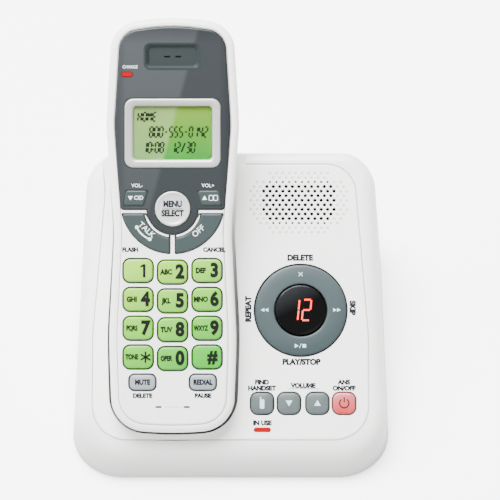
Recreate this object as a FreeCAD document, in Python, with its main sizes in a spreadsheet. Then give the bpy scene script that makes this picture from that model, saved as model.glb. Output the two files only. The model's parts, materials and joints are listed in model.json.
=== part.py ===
"""Cordless phone on its answering base: a parametric FreeCAD document, in millimetres.

World frame: +X to the right, +Y to the rear, +Z up, origin under the middle of the whole object.
Panel frame (u, v, w): origin on the front seam of the base's sloping face, w out of that face.
Handset frame (x, s, z): origin at the lower end of the handset's face, s up its length, z out of it.
"""
import FreeCAD, Part
import math
import os
import re

import Sketcher
from FreeCAD import Vector

# ---------------------------------------------------------------- sizes, each written once
SIZES = {
    # where the frames stand
    "seam_y": -62.4, "seam_height": 14.6, "panel_tilt": 26.0,
    "handset_x": -21.7, "handset_start": 2.05, "handset_rise": 7.9, "handset_tilt": 9.0,
    # general fits
    "slide_gap": 0.3, "fit_gap": 0.15, "press_travel": 0.8, "screw_radius": 1.1,
    # base casing
    "foot_width": 121.6, "foot_rear_width": 119.0, "foot_front": 8.6, "foot_rear": 106.3,
    "foot_front_radius": 19.6, "foot_rear_radius": 16.5, "draft": 4.5, "base_wall": 2.2,
    "front_wall": 6.5, "lip_radius": 12.0, "rim_radius": 6.0, "rear_rim_radius": 4.0,
    "feet_height": 1.2, "feet_radius": 5.0, "feet_recess": 0.6, "feet_margin_x": 17.8,
    "feet_front_y": 10.0, "feet_margin_y": 26.3, "cover_thickness": 2.2,
    "boss_radius": 3.6, "boss_front_margin": 7.2, "boss_front_y": 11.0, "boss_rear_margin": 9.1,
    "boss_margin_y": 20.3,
    "base_screw_head": 2.6, "base_screw_length": 9.0,
    # faceplate of the base
    "plate_width": 105.0, "plate_top_width": 94.4, "plate_height": 106.0, "plate_step": 40.0,
    "plate_low_radius": 13.0, "plate_high_radius": 11.5, "plate_thickness": 2.2, "plate_edge": 0.8,
    "ledge_width": 2.0, "ledge_thickness": 2.2,
    "grille_u": 26.1, "grille_v": 91.1, "grille_row": 1.77, "grille_column": 2.45,
    "grille_hole": 0.7, "grille_small_hole": 0.48,
    # rocker ring and its window
    "ring_u": 26.7, "ring_v": 49.5, "ring_opening": 18.0, "ring_radius": 17.4,
    "ring_inner": 10.1, "ring_proud": 0.9, "ring_flange": 19.0, "ring_flange_drop": 1.0,
    "ring_flange_thickness": 0.8, "window_radius": 9.65, "window_proud": 0.8, "window_wall": 1.1,
    "carrier_inner": 10.9, "carrier_outer": 14.0, "carrier_thickness": 0.7, "carrier_gap": 0.6,
    "led_across": 1.474, "led_along": 1.123, "led_depth": 2.6,
    # base buttons, light, inner boards
    "button_v": 13.9, "button_width": 8.5, "button_height": 8.1, "button_radius": 2.6,
    "button_proud": 1.0, "find_u": 11.97, "volume_down_u": 22.18, "volume_up_u": 32.96,
    "answer_u": 43.09, "flange_width": 0.6, "flange_thickness": 0.7, "light_u": 12.04,
    "light_v": 3.87, "light_length": 6.3, "light_width": 1.5, "light_proud": 0.25,
    "mat_thickness": 0.9, "mat_inner": 15.0, "mat_high": 22.0, "mat_neck": 12.0,
    "sheet_corner": 1.5, "board_thickness": 1.6, "board_left": 6.7,
    "board_right": 48.2, "board_low": 7.0, "board_high": 73.5, "base_stack": 6.2,
    "speaker_radius": 12.5, "speaker_depth": 5.4, "speaker_magnet": 7.0,
    # sockets in the rear wall
    "line_jack_x": 14.0, "line_jack_z": 16.0, "line_jack_width": 13.4, "line_jack_height": 12.4,
    "line_jack_depth": 15.0, "line_socket_width": 9.8, "line_socket_height": 6.8,
    "line_socket_depth": 12.0, "power_jack_x": 38.0, "power_jack_z": 16.0,
    "power_jack_width": 10.4, "power_jack_height": 11.0, "power_jack_depth": 13.0,
    "power_bore": 2.9, "power_bore_depth": 9.5, "power_pin": 0.85,
    # handset casing
    "handset_length": 156.0, "handset_width": 48.8, "handset_waist": 44.6, "handset_foot_width": 47.6,
    "waist_s": 76.0, "widest_s": 116.0, "foot_s": 36.0, "handset_low_radius": 13.0,
    "handset_high_radius": 11.0, "handset_crown": 2.4, "foot_draw": 1.0,
    "foot_swell": 0.2, "waist_draw": 0.4, "ear_swell": 0.7, "ear_draw": 1.6, "foot_bend": 0.8,
    "face_inset": 2.8, "face_thickness": 2.2,
    "face_edge": 0.9, "band_edge": 2.2, "back_edge": 6.0, "face_proud": 0.3,
    "back_low": 15.2, "back_knee": 20.8, "back_knee_s": 45.0, "back_peak": 22.4,
    "back_peak_s": 125.0, "back_high": 15.5, "back_knee_radius": 120.0, "back_peak_radius": 60.0,
    "handset_side_wall": 3.1, "cradle_gap": 1.3, "cradle_wall": 2.0,
    # fascia, display, earpiece
    "fascia_thickness": 1.4, "fascia_recess": 1.2, "fascia_inset": 0.4, "fascia_low": 83.8,
    "fascia_corner": 1.5, "bulge_radius": 9.8, "bezel_width": 36.0, "bezel_low": 99.8,
    "bezel_high": 125.7, "bezel_radius": 2.2, "bezel_proud": 0.6, "lens_width": 29.8,
    "lens_low": 102.8, "lens_high": 122.95, "lens_thickness": 0.9, "lens_ledge": 0.9, "lens_radius": 1.6,
    "lcd_width": 34.0, "lcd_low": 100.6, "lcd_high": 126.0, "lcd_depth": 2.6,
    "ear_s": 141.5, "ear_width": 20.7, "ear_height": 9.4, "ear_depth": 0.9, "ear_slot_x": 2.05,
    "slot_length": 2.4, "slot_width": 0.7, "receiver_radius": 8.0, "receiver_depth": 4.0,
    "charge_x": -17.1, "charge_s": 134.8, "charge_length": 4.1, "charge_width": 1.6,
    # handset keys
    "number_x": 12.95, "number_s": 61.1, "number_pitch": 10.83, "number_width": 10.8,
    "number_height": 8.5, "number_radius": 2.4, "number_drop": 0.57, "key_proud": 0.9,
    "soft_x": 11.36, "soft_s": 19.1, "soft_width": 9.6, "soft_height": 5.6, "soft_radius": 1.8,
    "menu_s": 84.3, "menu_radius": 6.6, "talk_inner": 10.9, "talk_outer": 19.4,
    "talk_centre_s": 87.0, "talk_top_s": 82.4, "talk_side_x": 1.1, "talk_corner": 0.7,
    "talk_flange": 0.35,
    "volume_top_s": 91.2, "volume_low_s": 85.6, "volume_top_in": 9.3, "volume_top_out": 17.4,
    "volume_low_in": 11.0, "volume_low_out": 18.4, "volume_corner": 1.0, "key_edge": 0.6,
    "mic_x": 5.3, "mic_s": 9.8, "mic_radius": 3.0, "mic_depth": 2.6,
    # inside the handset
    "handset_stack": 4.05, "handset_mat": 0.9, "handset_board_width": 36.8,
    "handset_board_low": 16.0, "handset_board_high": 130.0, "handset_mat_high": 96.0,
    "front_room": 7.4, "partition": 1.3, "low_room": 13.3, "low_room_start": 17.0,
    "low_room_end": 42.0, "high_room": 16.3, "high_room_start": 118.5, "high_room_end": 145.0,
    "room_half_width": 15.0, "ringer_s": 128.0, "ringer_radius": 8.0, "ringer_depth": 4.0,
    "ringer_wall": 2.1, "ringer_slot": 10.0, "cell_radius": 5.2, "cell_length": 44.5, "bay_start": 59.0,
    "bay_length": 52.0, "bay_half_width": 11.6, "lid_start": 54.0, "lid_length": 62.0,
    "lid_width": 32.0, "lid_thickness": 1.8, "lid_travel": 7.0, "lid_corner": 3.0,
    "lead_radius": 0.9, "plug_width": 6.0, "plug_depth": 4.0, "plug_length": 2.6,
    "handset_screw_x": 13.5, "handset_screw_s": 10.5, "handset_screw_head": 2.1,
    "handset_screw_floor": 13.2, "handset_boss": 2.3,
    "contact_x": 6.0, "contact_s": 12.0, "contact_width": 3.0, "contact_length": 4.0,
    "contact_plate_depth": 16.2, "contact_plate": 0.8, "contact_margin": 1.5,
    "contact_flange_depth": 20.6, "contact_travel": 0.8,
}

doc = FreeCAD.newDocument("cordless_phone")
sizes = doc.addObject("Spreadsheet::Sheet", "sizes")
for row, (alias, value) in enumerate(SIZES.items(), 1):
    sizes.set("A%d" % row, alias)
    sizes.set("B%d" % row, str(value))
    sizes.setAlias("B%d" % row, alias)
doc.recompute()

PANEL = ("create(<<placement>>; create(<<vector>>; 0; seam_y; seam_height);"
         " create(<<rotation>>; create(<<vector>>; 1; 0; 0); panel_tilt))")
HANDSET = (PANEL + " * create(<<placement>>; create(<<vector>>; handset_x; handset_start; handset_rise);"
           " create(<<rotation>>; create(<<vector>>; 1; 0; 0); handset_tilt))")
WORLD = "create(<<placement>>; create(<<vector>>; 0; seam_y; 0); create(<<rotation>>; 0; 0; 0))"
FAR = 80.0          # reach of a cutter past whatever it cuts
PAST = "%s" % FAR   # the same as an expression
PARTS = []          # the finished sub-parts, in the order they are made


# ---------------------------------------------------------------- helpers
def bind(thing, name, text):
    """Bind a property to an expression; each sheet alias in the text gets its prefix."""
    thing.setExpression(name, re.sub(r"\b[a-z][a-z_]*[a-z]\b",
                                     lambda m: "sizes." + m[0] if m[0] in SIZES else m[0], text))


def number(text):
    """The value of an expression of sheet aliases."""
    names = {alias: getattr(sizes, alias) for alias in SIZES}
    return float(sizes.evalExpression(re.sub(r"\b[a-z][a-z_]*[a-z]\b",
                 lambda m: repr(float(names[m[0]])) if m[0] in SIZES else m[0], text)))


def finish(thing, label):
    """Give a finished sub-part its node name and list it."""
    thing.Label = label
    PARTS.append(thing)
    return thing


def new_body(name, frame):
    """An empty body standing in one of the three frames."""
    body = doc.addObject("PartDesign::Body", name)
    bind(body, "Placement", frame)
    return body


def new_sketch(body, height, role="XY_Plane"):
    """A sketch on one of the body's own origin planes, raised by an expression."""
    sketch = body.newObject("Sketcher::SketchObject", body.Name + "_sketch")
    plane = next(f for f in body.Origin.OriginFeatures if f.Role == role)
    sketch.AttachmentSupport = [(plane, "")]
    sketch.MapMode = "FlatFace"
    bind(sketch, ".AttachmentOffset.Base.z", height)
    return sketch


def extrude(body, sketch, length):
    """Pad a sketch along its normal."""
    pad = body.newObject("PartDesign::Pad", body.Name + "_pad")
    pad.Profile = sketch
    bind(pad, "Length", length)
    sketch.Visibility = False
    return pad


def add_circle(sketch, across, along, radius):
    """A circle whose centre and radius are bound to expressions."""
    centre = Vector(number(across), number(along), 0)
    ring = sketch.addGeometry(Part.Circle(centre, Vector(0, 0, 1), number(radius)), False)
    for kind, text in (("DistanceX", across), ("DistanceY", along)):
        held = sketch.addConstraint(Sketcher.Constraint(kind, -1, 1, ring, 3, number(text)))
        bind(sketch, "Constraints[%d]" % held, text)
    held = sketch.addConstraint(Sketcher.Constraint("Radius", ring, number(radius)))
    bind(sketch, "Constraints[%d]" % held, radius)


def rounded(corners):
    """Lines and tangent arcs round a closed polygon of (x, y, radius) corners; 0 is sharp."""
    arcs = []
    for index, (x, y, radius) in enumerate(corners):
        corner = Vector(x, y, 0)
        if radius < 1e-6:
            arcs.append((corner, None, corner))
            continue
        before = Vector(*corners[index - 1][:2], 0) - corner
        after = Vector(*corners[(index + 1) % len(corners)][:2], 0) - corner
        before.normalize()
        after.normalize()
        half = before.getAngle(after) / 2
        reach = radius / math.tan(half)
        middle = before + after
        middle.normalize()
        nearest = corner + middle * (radius / math.sin(half) - radius)
        arcs.append((corner + before * reach, nearest, corner + after * reach))
    edges = []
    for index, (start, nearest, end) in enumerate(arcs):
        if nearest:
            edges.append(Part.Arc(start, nearest, end))
        following = arcs[(index + 1) % len(arcs)][0]
        if end.distanceToPoint(following) > 1e-6:
            edges.append(Part.LineSegment(end, following))
    return edges


def inset(corners, distance):
    """The same polygon moved inwards: lines shift, convex arcs shrink and hollow ones grow."""
    moved = []
    for index, (x, y, radius) in enumerate(corners):
        corner = Vector(x, y, 0)
        before = corner - Vector(*corners[index - 1][:2], 0)
        after = Vector(*corners[(index + 1) % len(corners)][:2], 0) - corner
        before.normalize()
        after.normalize()
        turn = before.x * after.y - before.y * after.x
        normal = Vector(-before.y - after.y, before.x + after.x, 0)
        normal.normalize()
        cosine = normal.dot(Vector(-before.y, before.x, 0))
        shift = normal * (distance / cosine)
        new_radius = radius - distance if turn > 0 else radius + distance
        moved.append((x + shift.x, y + shift.y, max(new_radius, 0.2)))
    return moved


def mirrored(corners):
    """Close a right-hand half outline (bottom to top) with its mirror image."""
    left = [(-x, y, radius) for x, y, radius in reversed(corners) if x > 1e-9]
    return list(corners) + left


def add_outline(sketch, corners):
    """Put a rounded polygon into a sketch."""
    for edge in rounded(corners):
        sketch.addGeometry(edge, False)


def rectangle(centre_x, centre_y, width, height, radius):
    """Corners of a rounded rectangle, anticlockwise."""
    left, right = centre_x - width / 2, centre_x + width / 2
    low, high = centre_y - height / 2, centre_y + height / 2
    return [(left, low, radius), (right, low, radius), (right, high, radius), (left, high, radius)]


def prism(body, corners, low, high):
    """Add a rounded polygon between two heights to a body."""
    sketch = new_sketch(body, low)
    add_outline(sketch, corners)
    return extrude(body, sketch, "(%s) - (%s)" % (high, low))


def block(name, frame, corners, low, high):
    """A body that is one rounded polygon between two heights."""
    body = new_body(name, frame)
    prism(body, corners, low, high)
    return body


def cylinder(name, frame, across, along, radius, low, high):
    """A body that is one upright cylinder with its sizes bound."""
    body = new_body(name, frame)
    sketch = new_sketch(body, low)
    add_circle(sketch, across, along, radius)
    extrude(body, sketch, "(%s) - (%s)" % (high, low))
    return body


def side_slab(name, frame, corners, half_width, centre="0"):
    """A body swept along X from a side outline of (y, z, radius) corners."""
    body = new_body(name, frame)
    sketch = new_sketch(body, "%s - (%s)" % (centre, half_width), "YZ_Plane")
    add_outline(sketch, corners)
    extrude(body, sketch, "2 * (%s)" % half_width)
    return body


def box(name, frame, across, along, low, width, length, height):
    """A Part box centred at (across, along), standing on low, with its sizes bound."""
    solid = doc.addObject("Part::Box", name)
    bind(solid, "Length", width)
    bind(solid, "Width", length)
    bind(solid, "Height", height)
    bind(solid, "Placement", frame + " * create(<<placement>>; create(<<vector>>; %s - (%s) / 2;"
         " %s - (%s) / 2; %s); create(<<rotation>>; 0; 0; 0))" % (across, width, along, length, low))
    return solid


def cut(base, *tools):
    """Cut tools one after another from a base, all in the document."""
    for tool in tools:
        made = doc.addObject("Part::Cut", base.Name.split("_cut")[0] + "_cut")
        made.Base = base
        made.Tool = tool
        base = made
    return base


def join(*shapes):
    """Fuse several shapes."""
    made = doc.addObject("Part::MultiFuse", shapes[0].Name + "_fuse")
    made.Shapes = list(shapes)
    return made


def common(first, second):
    """Where two shapes overlap."""
    made = doc.addObject("Part::Common", first.Name + "_common")
    made.Base = first
    made.Tool = second
    return made


def round_edges(thing, radius, picked):
    """A Part fillet on the edges that a test picks; the radius is a number or a rule of a point."""
    doc.recompute()
    made = doc.addObject("Part::Fillet", thing.Name + "_round")
    made.Base = thing
    edges = []
    for index, edge in enumerate(thing.Shape.Edges, 1):
        if picked(edge):
            start = edge.valueAt(edge.FirstParameter)
            end = edge.valueAt(edge.LastParameter)
            sizes_here = (radius(start), radius(end)) if callable(radius) else (radius, radius)
            edges.append((index,) + sizes_here)
    made.Edges = edges
    return made


def at_height(frame, low, high=None):
    """A test for edges that lie wholly between two heights of a frame."""
    top = low if high is None else high
    inverse = frame.inverse()

    def picked(edge):
        first, last = edge.FirstParameter, edge.LastParameter
        heights = [inverse.multVec(edge.valueAt(first + (last - first) * k / 4)).z for k in range(5)]
        return min(heights) > low - 0.02 and max(heights) < top + 0.02
    return picked


# ---------------------------------------------------------------- outlines
def foot_corners():
    """Footprint of the base casing where it meets its feet."""
    front, rear = sizes.foot_width / 2, sizes.foot_rear_width / 2
    return [(-front, -sizes.foot_front, sizes.foot_front_radius),
            (front, -sizes.foot_front, sizes.foot_front_radius),
            (rear, sizes.foot_rear, sizes.foot_rear_radius),
            (-rear, sizes.foot_rear, sizes.foot_rear_radius)]


def plate_corners():
    """Outline of the faceplate in the panel frame."""
    half, top = sizes.plate_width / 2, sizes.plate_top_width / 2
    right = [(half, 0, sizes.plate_low_radius),
             (half, sizes.plate_step, 2 * sizes.plate_step),
             (top, sizes.plate_height, sizes.plate_high_radius)]
    return mirrored(right)


def handset_corners():
    """Outline of the handset in plan: a waist between a wide ear end and a rounded foot."""
    length, crown = sizes.handset_length, sizes.handset_crown
    foot, waist, wide = sizes.handset_foot_width / 2, sizes.handset_waist / 2, sizes.handset_width / 2
    right = [(0, -crown / 8, sizes.foot_bend * length),
             (foot - sizes.foot_draw, crown / 2, sizes.handset_low_radius),
             (foot + sizes.foot_swell, sizes.foot_s, length),
             (waist - sizes.waist_draw, sizes.waist_s, length / 2),
             (wide + sizes.ear_swell, sizes.widest_s, length / 3),
             (wide - sizes.ear_draw, length - crown, sizes.handset_high_radius),
             (0, length + crown / 3, length / 2)]
    return mirrored(right)


def back_line(depth):
    """Corners of the handset's back seen from the side, moved out by depth (in when negative)."""
    start, end = -FAR / 4, sizes.handset_length + FAR / 4
    low_slope = (sizes.back_knee - sizes.back_low) / sizes.back_knee_s
    high_slope = (sizes.back_peak - sizes.back_high) / (sizes.handset_length - sizes.back_peak_s)
    return [(start, -(sizes.back_low + low_slope * start) - depth),
            (sizes.back_knee_s, -sizes.back_knee - depth),
            (sizes.back_peak_s, -sizes.back_peak - depth),
            (end, -(sizes.back_high - high_slope * (end - sizes.handset_length)) - depth)]


def back_depth(along):
    """Depth of the handset's back below its face at one place along it."""
    line = back_line(0)
    for (near, near_z), (far, far_z) in zip(line, line[1:]):
        if near <= along <= far:
            return -(near_z + (far_z - near_z) * (along - near) / (far - near))
    raise ValueError("the handset has no back at %s" % along)


def back_slab(name, depth, top, half_width, start=None, end=None):
    """A slab bounded below by the handset's back moved out by depth, and above by top (a height)."""
    low, knee, peak, high = back_line(depth)
    low = low if start is None else (start, -back_depth(start) - depth)
    high = high if end is None else (end, -back_depth(end) - depth)
    corners = [(low[0], top, 0), (low[0], low[1], 0)]
    if knee[0] > low[0]:
        corners.append(knee + (sizes.back_knee_radius,))
    if peak[0] < high[0]:
        corners.append(peak + (sizes.back_peak_radius,))
    corners += [(high[0], high[1], 0), (high[0], top, 0)]
    return side_slab(name, HANDSET, corners, half_width)


def pill(across, along, length, width):
    """A slot with round ends, as corners."""
    return rectangle(across, along, length, width, width / 2 - 0.01)


# ---------------------------------------------------------------- base casing
def wedge(name, corners, low, drop):
    """The base's tapering block between its foot and a plane that lies drop below the panel."""
    body = new_body(name, WORLD)
    sketch = new_sketch(body, low)
    add_outline(sketch, corners)
    pad = extrude(body, sketch, "foot_rear + foot_front")
    bind(pad, "TaperAngle", "-draft")
    roof = box(name + "_roof", PANEL, "0", "foot_rear / 2", "-(%s)" % drop,
               "2 * foot_width", "4 * foot_rear", "2 * foot_rear")
    return cut(body, roof)


def rim_rule(point):
    """Radius of the rolled rim at a point: generous along the front lip, small elsewhere."""
    along = point.y - sizes.seam_y
    if along < sizes.foot_front_radius * 0.2:
        return sizes.lip_radius
    return sizes.rear_rim_radius if along > sizes.foot_rear * 0.85 else sizes.rim_radius


def cavity_corners():
    """Inside of the base casing at its foot: a wall all round, a thicker one behind the lip."""
    inner = inset(foot_corners(), sizes.base_wall)
    extra = sizes.front_wall - sizes.base_wall
    return [(x, y + extra if y < 0 else y, radius) for x, y, radius in inner]


def panel_normal():
    """Direction out of the panel in the world frame."""
    tilt = math.radians(sizes.panel_tilt)
    return Vector(0, -math.sin(tilt), math.cos(tilt))


def on_plane(shape, normal, place):
    """A test for the edges of the flat face that has this normal and holds this point."""
    owners = [face for face in shape.Faces if face.Surface.TypeId == "Part::GeomPlane"
              and abs(face.normalAt(0, 0).dot(normal)) > 0.9999
              and abs((face.CenterOfMass - place).dot(normal)) < 0.01]
    return lambda edge: any(edge.isSame(other) for face in owners for other in face.Edges)


def handset_room(name, growth, depth):
    """Space of the seated handset grown sideways and behind, open towards the front."""
    outline = block(name + "_outline", HANDSET, inset(handset_corners(), -growth),
                    "-back_peak - %s" % (depth + FAR / 4), "%s" % FAR)
    behind = back_slab(name + "_side", depth, FAR - 1, "handset_width")
    return common(outline, behind)


def upper_housing():
    """Outer casing of the base: rolled rim, ledge for the faceplate, posts and socket holes."""
    outer = wedge("housing_outer", foot_corners(), "feet_height", "0")
    doc.recompute()
    seam = Vector(0, sizes.seam_y, sizes.seam_height)
    outer = round_edges(outer, rim_rule, on_plane(outer.Shape, panel_normal(), seam))
    inner = wedge("housing_inner", cavity_corners(), "0", "plate_thickness + ledge_thickness")
    posts = [cylinder("housing_post_%d" % index, WORLD, x, y, "boss_radius",
                      "feet_height + cover_thickness",
                      "seam_height + (%s) * tan(panel_tilt) - 2 * plate_thickness" % y)
             for index, (x, y) in enumerate(screw_places())]
    pilots = [cylinder("housing_pilot_%d" % index, WORLD, x, y, "screw_radius",
                       "0", "feet_height + base_screw_length + fit_gap")
              for index, (x, y) in enumerate(screw_places())]
    recess = block("housing_recess", PANEL, inset(plate_corners(), -sizes.fit_gap),
                   "-plate_thickness - fit_gap / 2", PAST)
    opening = block("housing_opening", PANEL, inset(plate_corners(), sizes.ledge_width),
                    "-plate_thickness - ledge_thickness - 1", "0")
    cradle = handset_room("housing_cradle", sizes.cradle_gap + sizes.cradle_wall + sizes.slide_gap,
                          sizes.cradle_gap + sizes.cradle_wall + sizes.slide_gap)
    sockets = [box("housing_hole_" + name, WORLD, name + "_x", "foot_rear",
                   name + "_z - %s_height / 2" % name, name + "_width + 2 * fit_gap", "8 * base_wall",
                   name + "_height + 2 * fit_gap")
               for name in ("line_jack", "power_jack")]
    shell = join(cut(outer, inner), *posts)
    return finish(cut(shell, recess, opening, cradle, *sockets, *pilots), "base_upper_housing")


def grille_holes(body, low, high):
    """Ten staggered rows of round holes over the loudspeaker; the end rows are smaller."""
    counts = (9, 10, 11, 12, 11, 12, 11, 12, 11, 10)
    sketch = new_sketch(body, low)
    for row_index, count in enumerate(counts):
        along = (row_index - (len(counts) - 1) / 2) * sizes.grille_row
        small = row_index in (0, len(counts) - 1)
        radius = sizes.grille_small_hole if small else sizes.grille_hole
        for hole in range(count):
            across = (hole - (count - 1) / 2) * sizes.grille_column
            centre = Vector(sizes.grille_u + across, sizes.grille_v + along, 0)
            sketch.addGeometry(Part.Circle(centre, Vector(0, 0, 1), radius), False)
    extrude(body, sketch, "(%s) - (%s)" % (high, low))


def button_places():
    """Names of the base's buttons with the alias that holds each one's place."""
    return {"base_find_button": "find_u", "base_volume_down_button": "volume_down_u",
            "base_volume_up_button": "volume_up_u", "base_answer_button": "answer_u"}


def faceplate():
    """The sloping panel with the handset's cradle moulded into it."""
    plate = block("plate", PANEL, plate_corners(), "-plate_thickness", "0")
    plate = round_edges(plate, sizes.plate_edge, at_height_later(plate, 0))
    walls = handset_room("cradle_outer", sizes.cradle_gap + sizes.cradle_wall,
                         sizes.cradle_gap + sizes.cradle_wall)
    above = box("cradle_roof", PANEL, "0", "plate_height / 2", "-plate_thickness / 2",
                "2 * foot_width", "3 * plate_height", "2 * foot_rear")
    beyond = box("cradle_end", PANEL, "0", "plate_height - ledge_width + foot_rear", "-foot_rear",
                 "2 * foot_width", "2 * foot_rear", "2 * foot_rear")
    body = join(plate, cut(walls, above, beyond))
    space = handset_room("cradle_space", sizes.cradle_gap, sizes.cradle_gap)
    low, high = "-2 * plate_thickness", "plate_thickness"
    holes = new_body("plate_holes", PANEL)
    for alias in button_places().values():
        prism(holes, rectangle(getattr(sizes, alias), sizes.button_v,
                               sizes.button_width + 2 * sizes.slide_gap,
                               sizes.button_height + 2 * sizes.slide_gap,
                               sizes.button_radius + sizes.slide_gap), low, high)
    ring = new_sketch(holes, low)
    add_circle(ring, "ring_u", "ring_v", "ring_opening")
    extrude(holes, ring, "3 * plate_thickness")
    prism(holes, pill(sizes.light_u, sizes.light_v, sizes.light_length + 2 * sizes.fit_gap,
                      sizes.light_width + 2 * sizes.fit_gap), low, high)
    grille_holes(holes, low, high)
    contacts = [box("plate_contact_hole_" + side, HANDSET, x, "contact_s", "-2 * back_low",
                    "contact_width + 2 * slide_gap", "contact_length + 2 * slide_gap", "2 * back_low")
                for side, x in (("left", "-contact_x"), ("right", "contact_x"))]
    return finish(cut(body, space, holes, *contacts), "base_faceplate")


def at_height_later(thing, height):
    """Edges at one height of a body's own frame, once the document is up to date."""
    doc.recompute()
    return at_height(thing.Placement, height)


def bottom_cover():
    """Flat cover that closes the base from below, with seats for feet and screws."""
    outline = inset(cavity_corners(), sizes.slide_gap)
    cover = block("cover", WORLD, outline, "feet_height", "feet_height + cover_thickness - fit_gap")
    seats = [cylinder("cover_seat_%d" % index, WORLD, x, y, "feet_radius + fit_gap", "0",
                      "feet_height + feet_recess") for index, (x, y) in enumerate(feet_places())]
    holes = [cylinder("cover_hole_%d" % index, WORLD, x, y, "screw_radius + fit_gap", "0", "10")
             for index, (x, y) in enumerate(screw_places())]
    heads = [cylinder("cover_head_%d" % index, WORLD, x, y, "base_screw_head + fit_gap", "0",
                      "feet_height + cover_thickness / 2") for index, (x, y) in enumerate(screw_places())]
    return finish(cut(cover, *seats, *holes, *heads), "base_bottom_cover")


def feet_places():
    """Where the four feet stand, as expressions."""
    return [(sign + "(foot_width / 2 - feet_margin_x)", y) for sign in ("-", "")
            for y in ("feet_front_y", "foot_rear - feet_margin_y")]


def screw_places():
    """Where the four casing screws stand, as expressions."""
    front, rear = "(foot_width / 2 - boss_front_margin)", "(foot_rear_width / 2 - boss_rear_margin)"
    return [(sign + x, y) for sign in ("-", "")
            for x, y in ((front, "boss_front_y"), (rear, "foot_rear - boss_margin_y"))]


def feet():
    """Four round rubber feet stuck into the seats of the cover."""
    pads = [cylinder("foot_%d" % index, WORLD, x, y, "feet_radius", "0", "feet_height + feet_recess")
            for index, (x, y) in enumerate(feet_places())]
    return finish(join(*pads), "base_feet")


def base_screws():
    """Four screws from below the cover into the posts of the casing."""
    solids = []
    for index, (x, y) in enumerate(screw_places()):
        floor = "feet_height + cover_thickness / 2"
        head = cylinder("screw_head_%d" % index, WORLD, x, y, "base_screw_head", "feet_height", floor)
        shank = cylinder("screw_shank_%d" % index, WORLD, x, y, "screw_radius", "feet_height",
                         "feet_height + base_screw_length")
        slot = box("screw_slot_%d" % index, WORLD, x, y, "0", "4 * screw_radius", "screw_radius / 2",
                   "feet_height + cover_thickness / 5")
        solids.append(cut(join(head, shank), slot))
    return finish(join(*solids), "base_screws")


# ---------------------------------------------------------------- base controls and insides
def button_cap(name, frame, corners, low, high, flange_top, label, edge):
    """A pressed key: a cap with a softened top edge and a flange that keeps it in its hole."""
    body = new_body(name, frame)
    prism(body, corners, low, high)
    prism(body, inset(corners, -sizes.flange_width), "(%s) - flange_thickness" % flange_top, flange_top)
    soft = round_edges(body, edge, at_height_later(body, number(high)))
    return finish(soft, label)


def base_buttons():
    """Four square keys along the foot of the panel."""
    for label, alias in button_places().items():
        corners = rectangle(getattr(sizes, alias), sizes.button_v, sizes.button_width,
                            sizes.button_height, sizes.button_radius)
        button_cap(label + "_cap", PANEL, corners, "-plate_thickness - 2", "button_proud",
                   "-plate_thickness - fit_gap", label, sizes.key_edge)


def ring_floor():
    return "-plate_thickness - ring_flange_drop - ring_flange_thickness"


def ring_button():
    """The four-way ring: an annular cap with a wider flange under the faceplate."""
    cap = cylinder("ring_cap", PANEL, "ring_u", "ring_v", "ring_radius", ring_floor(), "ring_proud")
    flange = cylinder("ring_flange_disc", PANEL, "ring_u", "ring_v", "ring_flange", ring_floor(),
                      "-plate_thickness - ring_flange_drop")
    hole = cylinder("ring_hole", PANEL, "ring_u", "ring_v", "ring_inner", "-" + PAST, PAST)
    made = cut(join(cap, flange), hole)
    return finish(round_edges(made, sizes.key_edge, at_height_later(cap, sizes.ring_proud)),
                  "base_ring_button")


def ring_carrier():
    """Gimbal ring under the rocker ring, with a pair of pivots inwards and a pair outwards."""
    top = ring_floor() + " - carrier_gap"
    low = top + " - carrier_thickness"
    disc = cylinder("carrier_disc", PANEL, "ring_u", "ring_v", "carrier_outer", low, top)
    hole = cylinder("carrier_hole", PANEL, "ring_u", "ring_v", "carrier_inner", "-" + PAST, PAST)
    reach = "2 * carrier_inner - 2 * window_radius - 4 * slide_gap"
    pins = [box("carrier_pin_" + side, PANEL, "ring_u %s carrier_inner" % sign, "ring_v", low, reach,
                "carrier_thickness", "carrier_thickness") for side, sign in (("left", "-"), ("right", "+"))]
    lugs = [box("carrier_lug_" + side, PANEL, "ring_u", "ring_v %s carrier_outer" % sign, low,
                "carrier_thickness", "carrier_thickness", "carrier_thickness")
            for side, sign in (("near", "-"), ("far", "+"))]
    return finish(join(cut(disc, hole), *pins, *lugs), "base_ring_carrier")


def display_window():
    """Smoked window in the middle of the ring, a disc on a short tube."""
    disc = cylinder("window_disc", PANEL, "ring_u", "ring_v", "window_radius", "-plate_thickness",
                    "window_proud")
    tube = cylinder("window_tube", PANEL, "ring_u", "ring_v", "window_radius", "-base_stack + fit_gap",
                    "-plate_thickness")
    bore = cylinder("window_bore", PANEL, "ring_u", "ring_v", "window_radius - window_wall",
                    "-" + PAST, "-plate_thickness")
    made = cut(join(disc, tube), bore)
    return finish(round_edges(made, sizes.key_edge / 2, at_height_later(disc, sizes.window_proud)),
                  "base_display_window")


def led_display():
    """Two-digit light-emitting display, sized to the room inside the window's tube."""
    low = "-base_stack + fit_gap"
    bore = " * (window_radius - window_wall)"
    return finish(box("led", PANEL, "ring_u", "ring_v", low, "led_across" + bore, "led_along" + bore,
                      "led_depth"), "base_led_display")


def base_light():
    """Pill-shaped lens of the in-use light."""
    body = new_body("light", PANEL)
    corners = pill(sizes.light_u, sizes.light_v, sizes.light_length, sizes.light_width)
    prism(body, corners, "-plate_thickness", "light_proud")
    foot = pill(sizes.light_u, sizes.light_v, sizes.light_length + 2, sizes.light_width + 2)
    prism(body, foot, "-plate_thickness - fit_gap - 1", "-plate_thickness - fit_gap")
    prism(body, corners, "-plate_thickness - fit_gap - 1", "-plate_thickness + fit_gap")
    return finish(body, "base_in_use_light")


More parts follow.
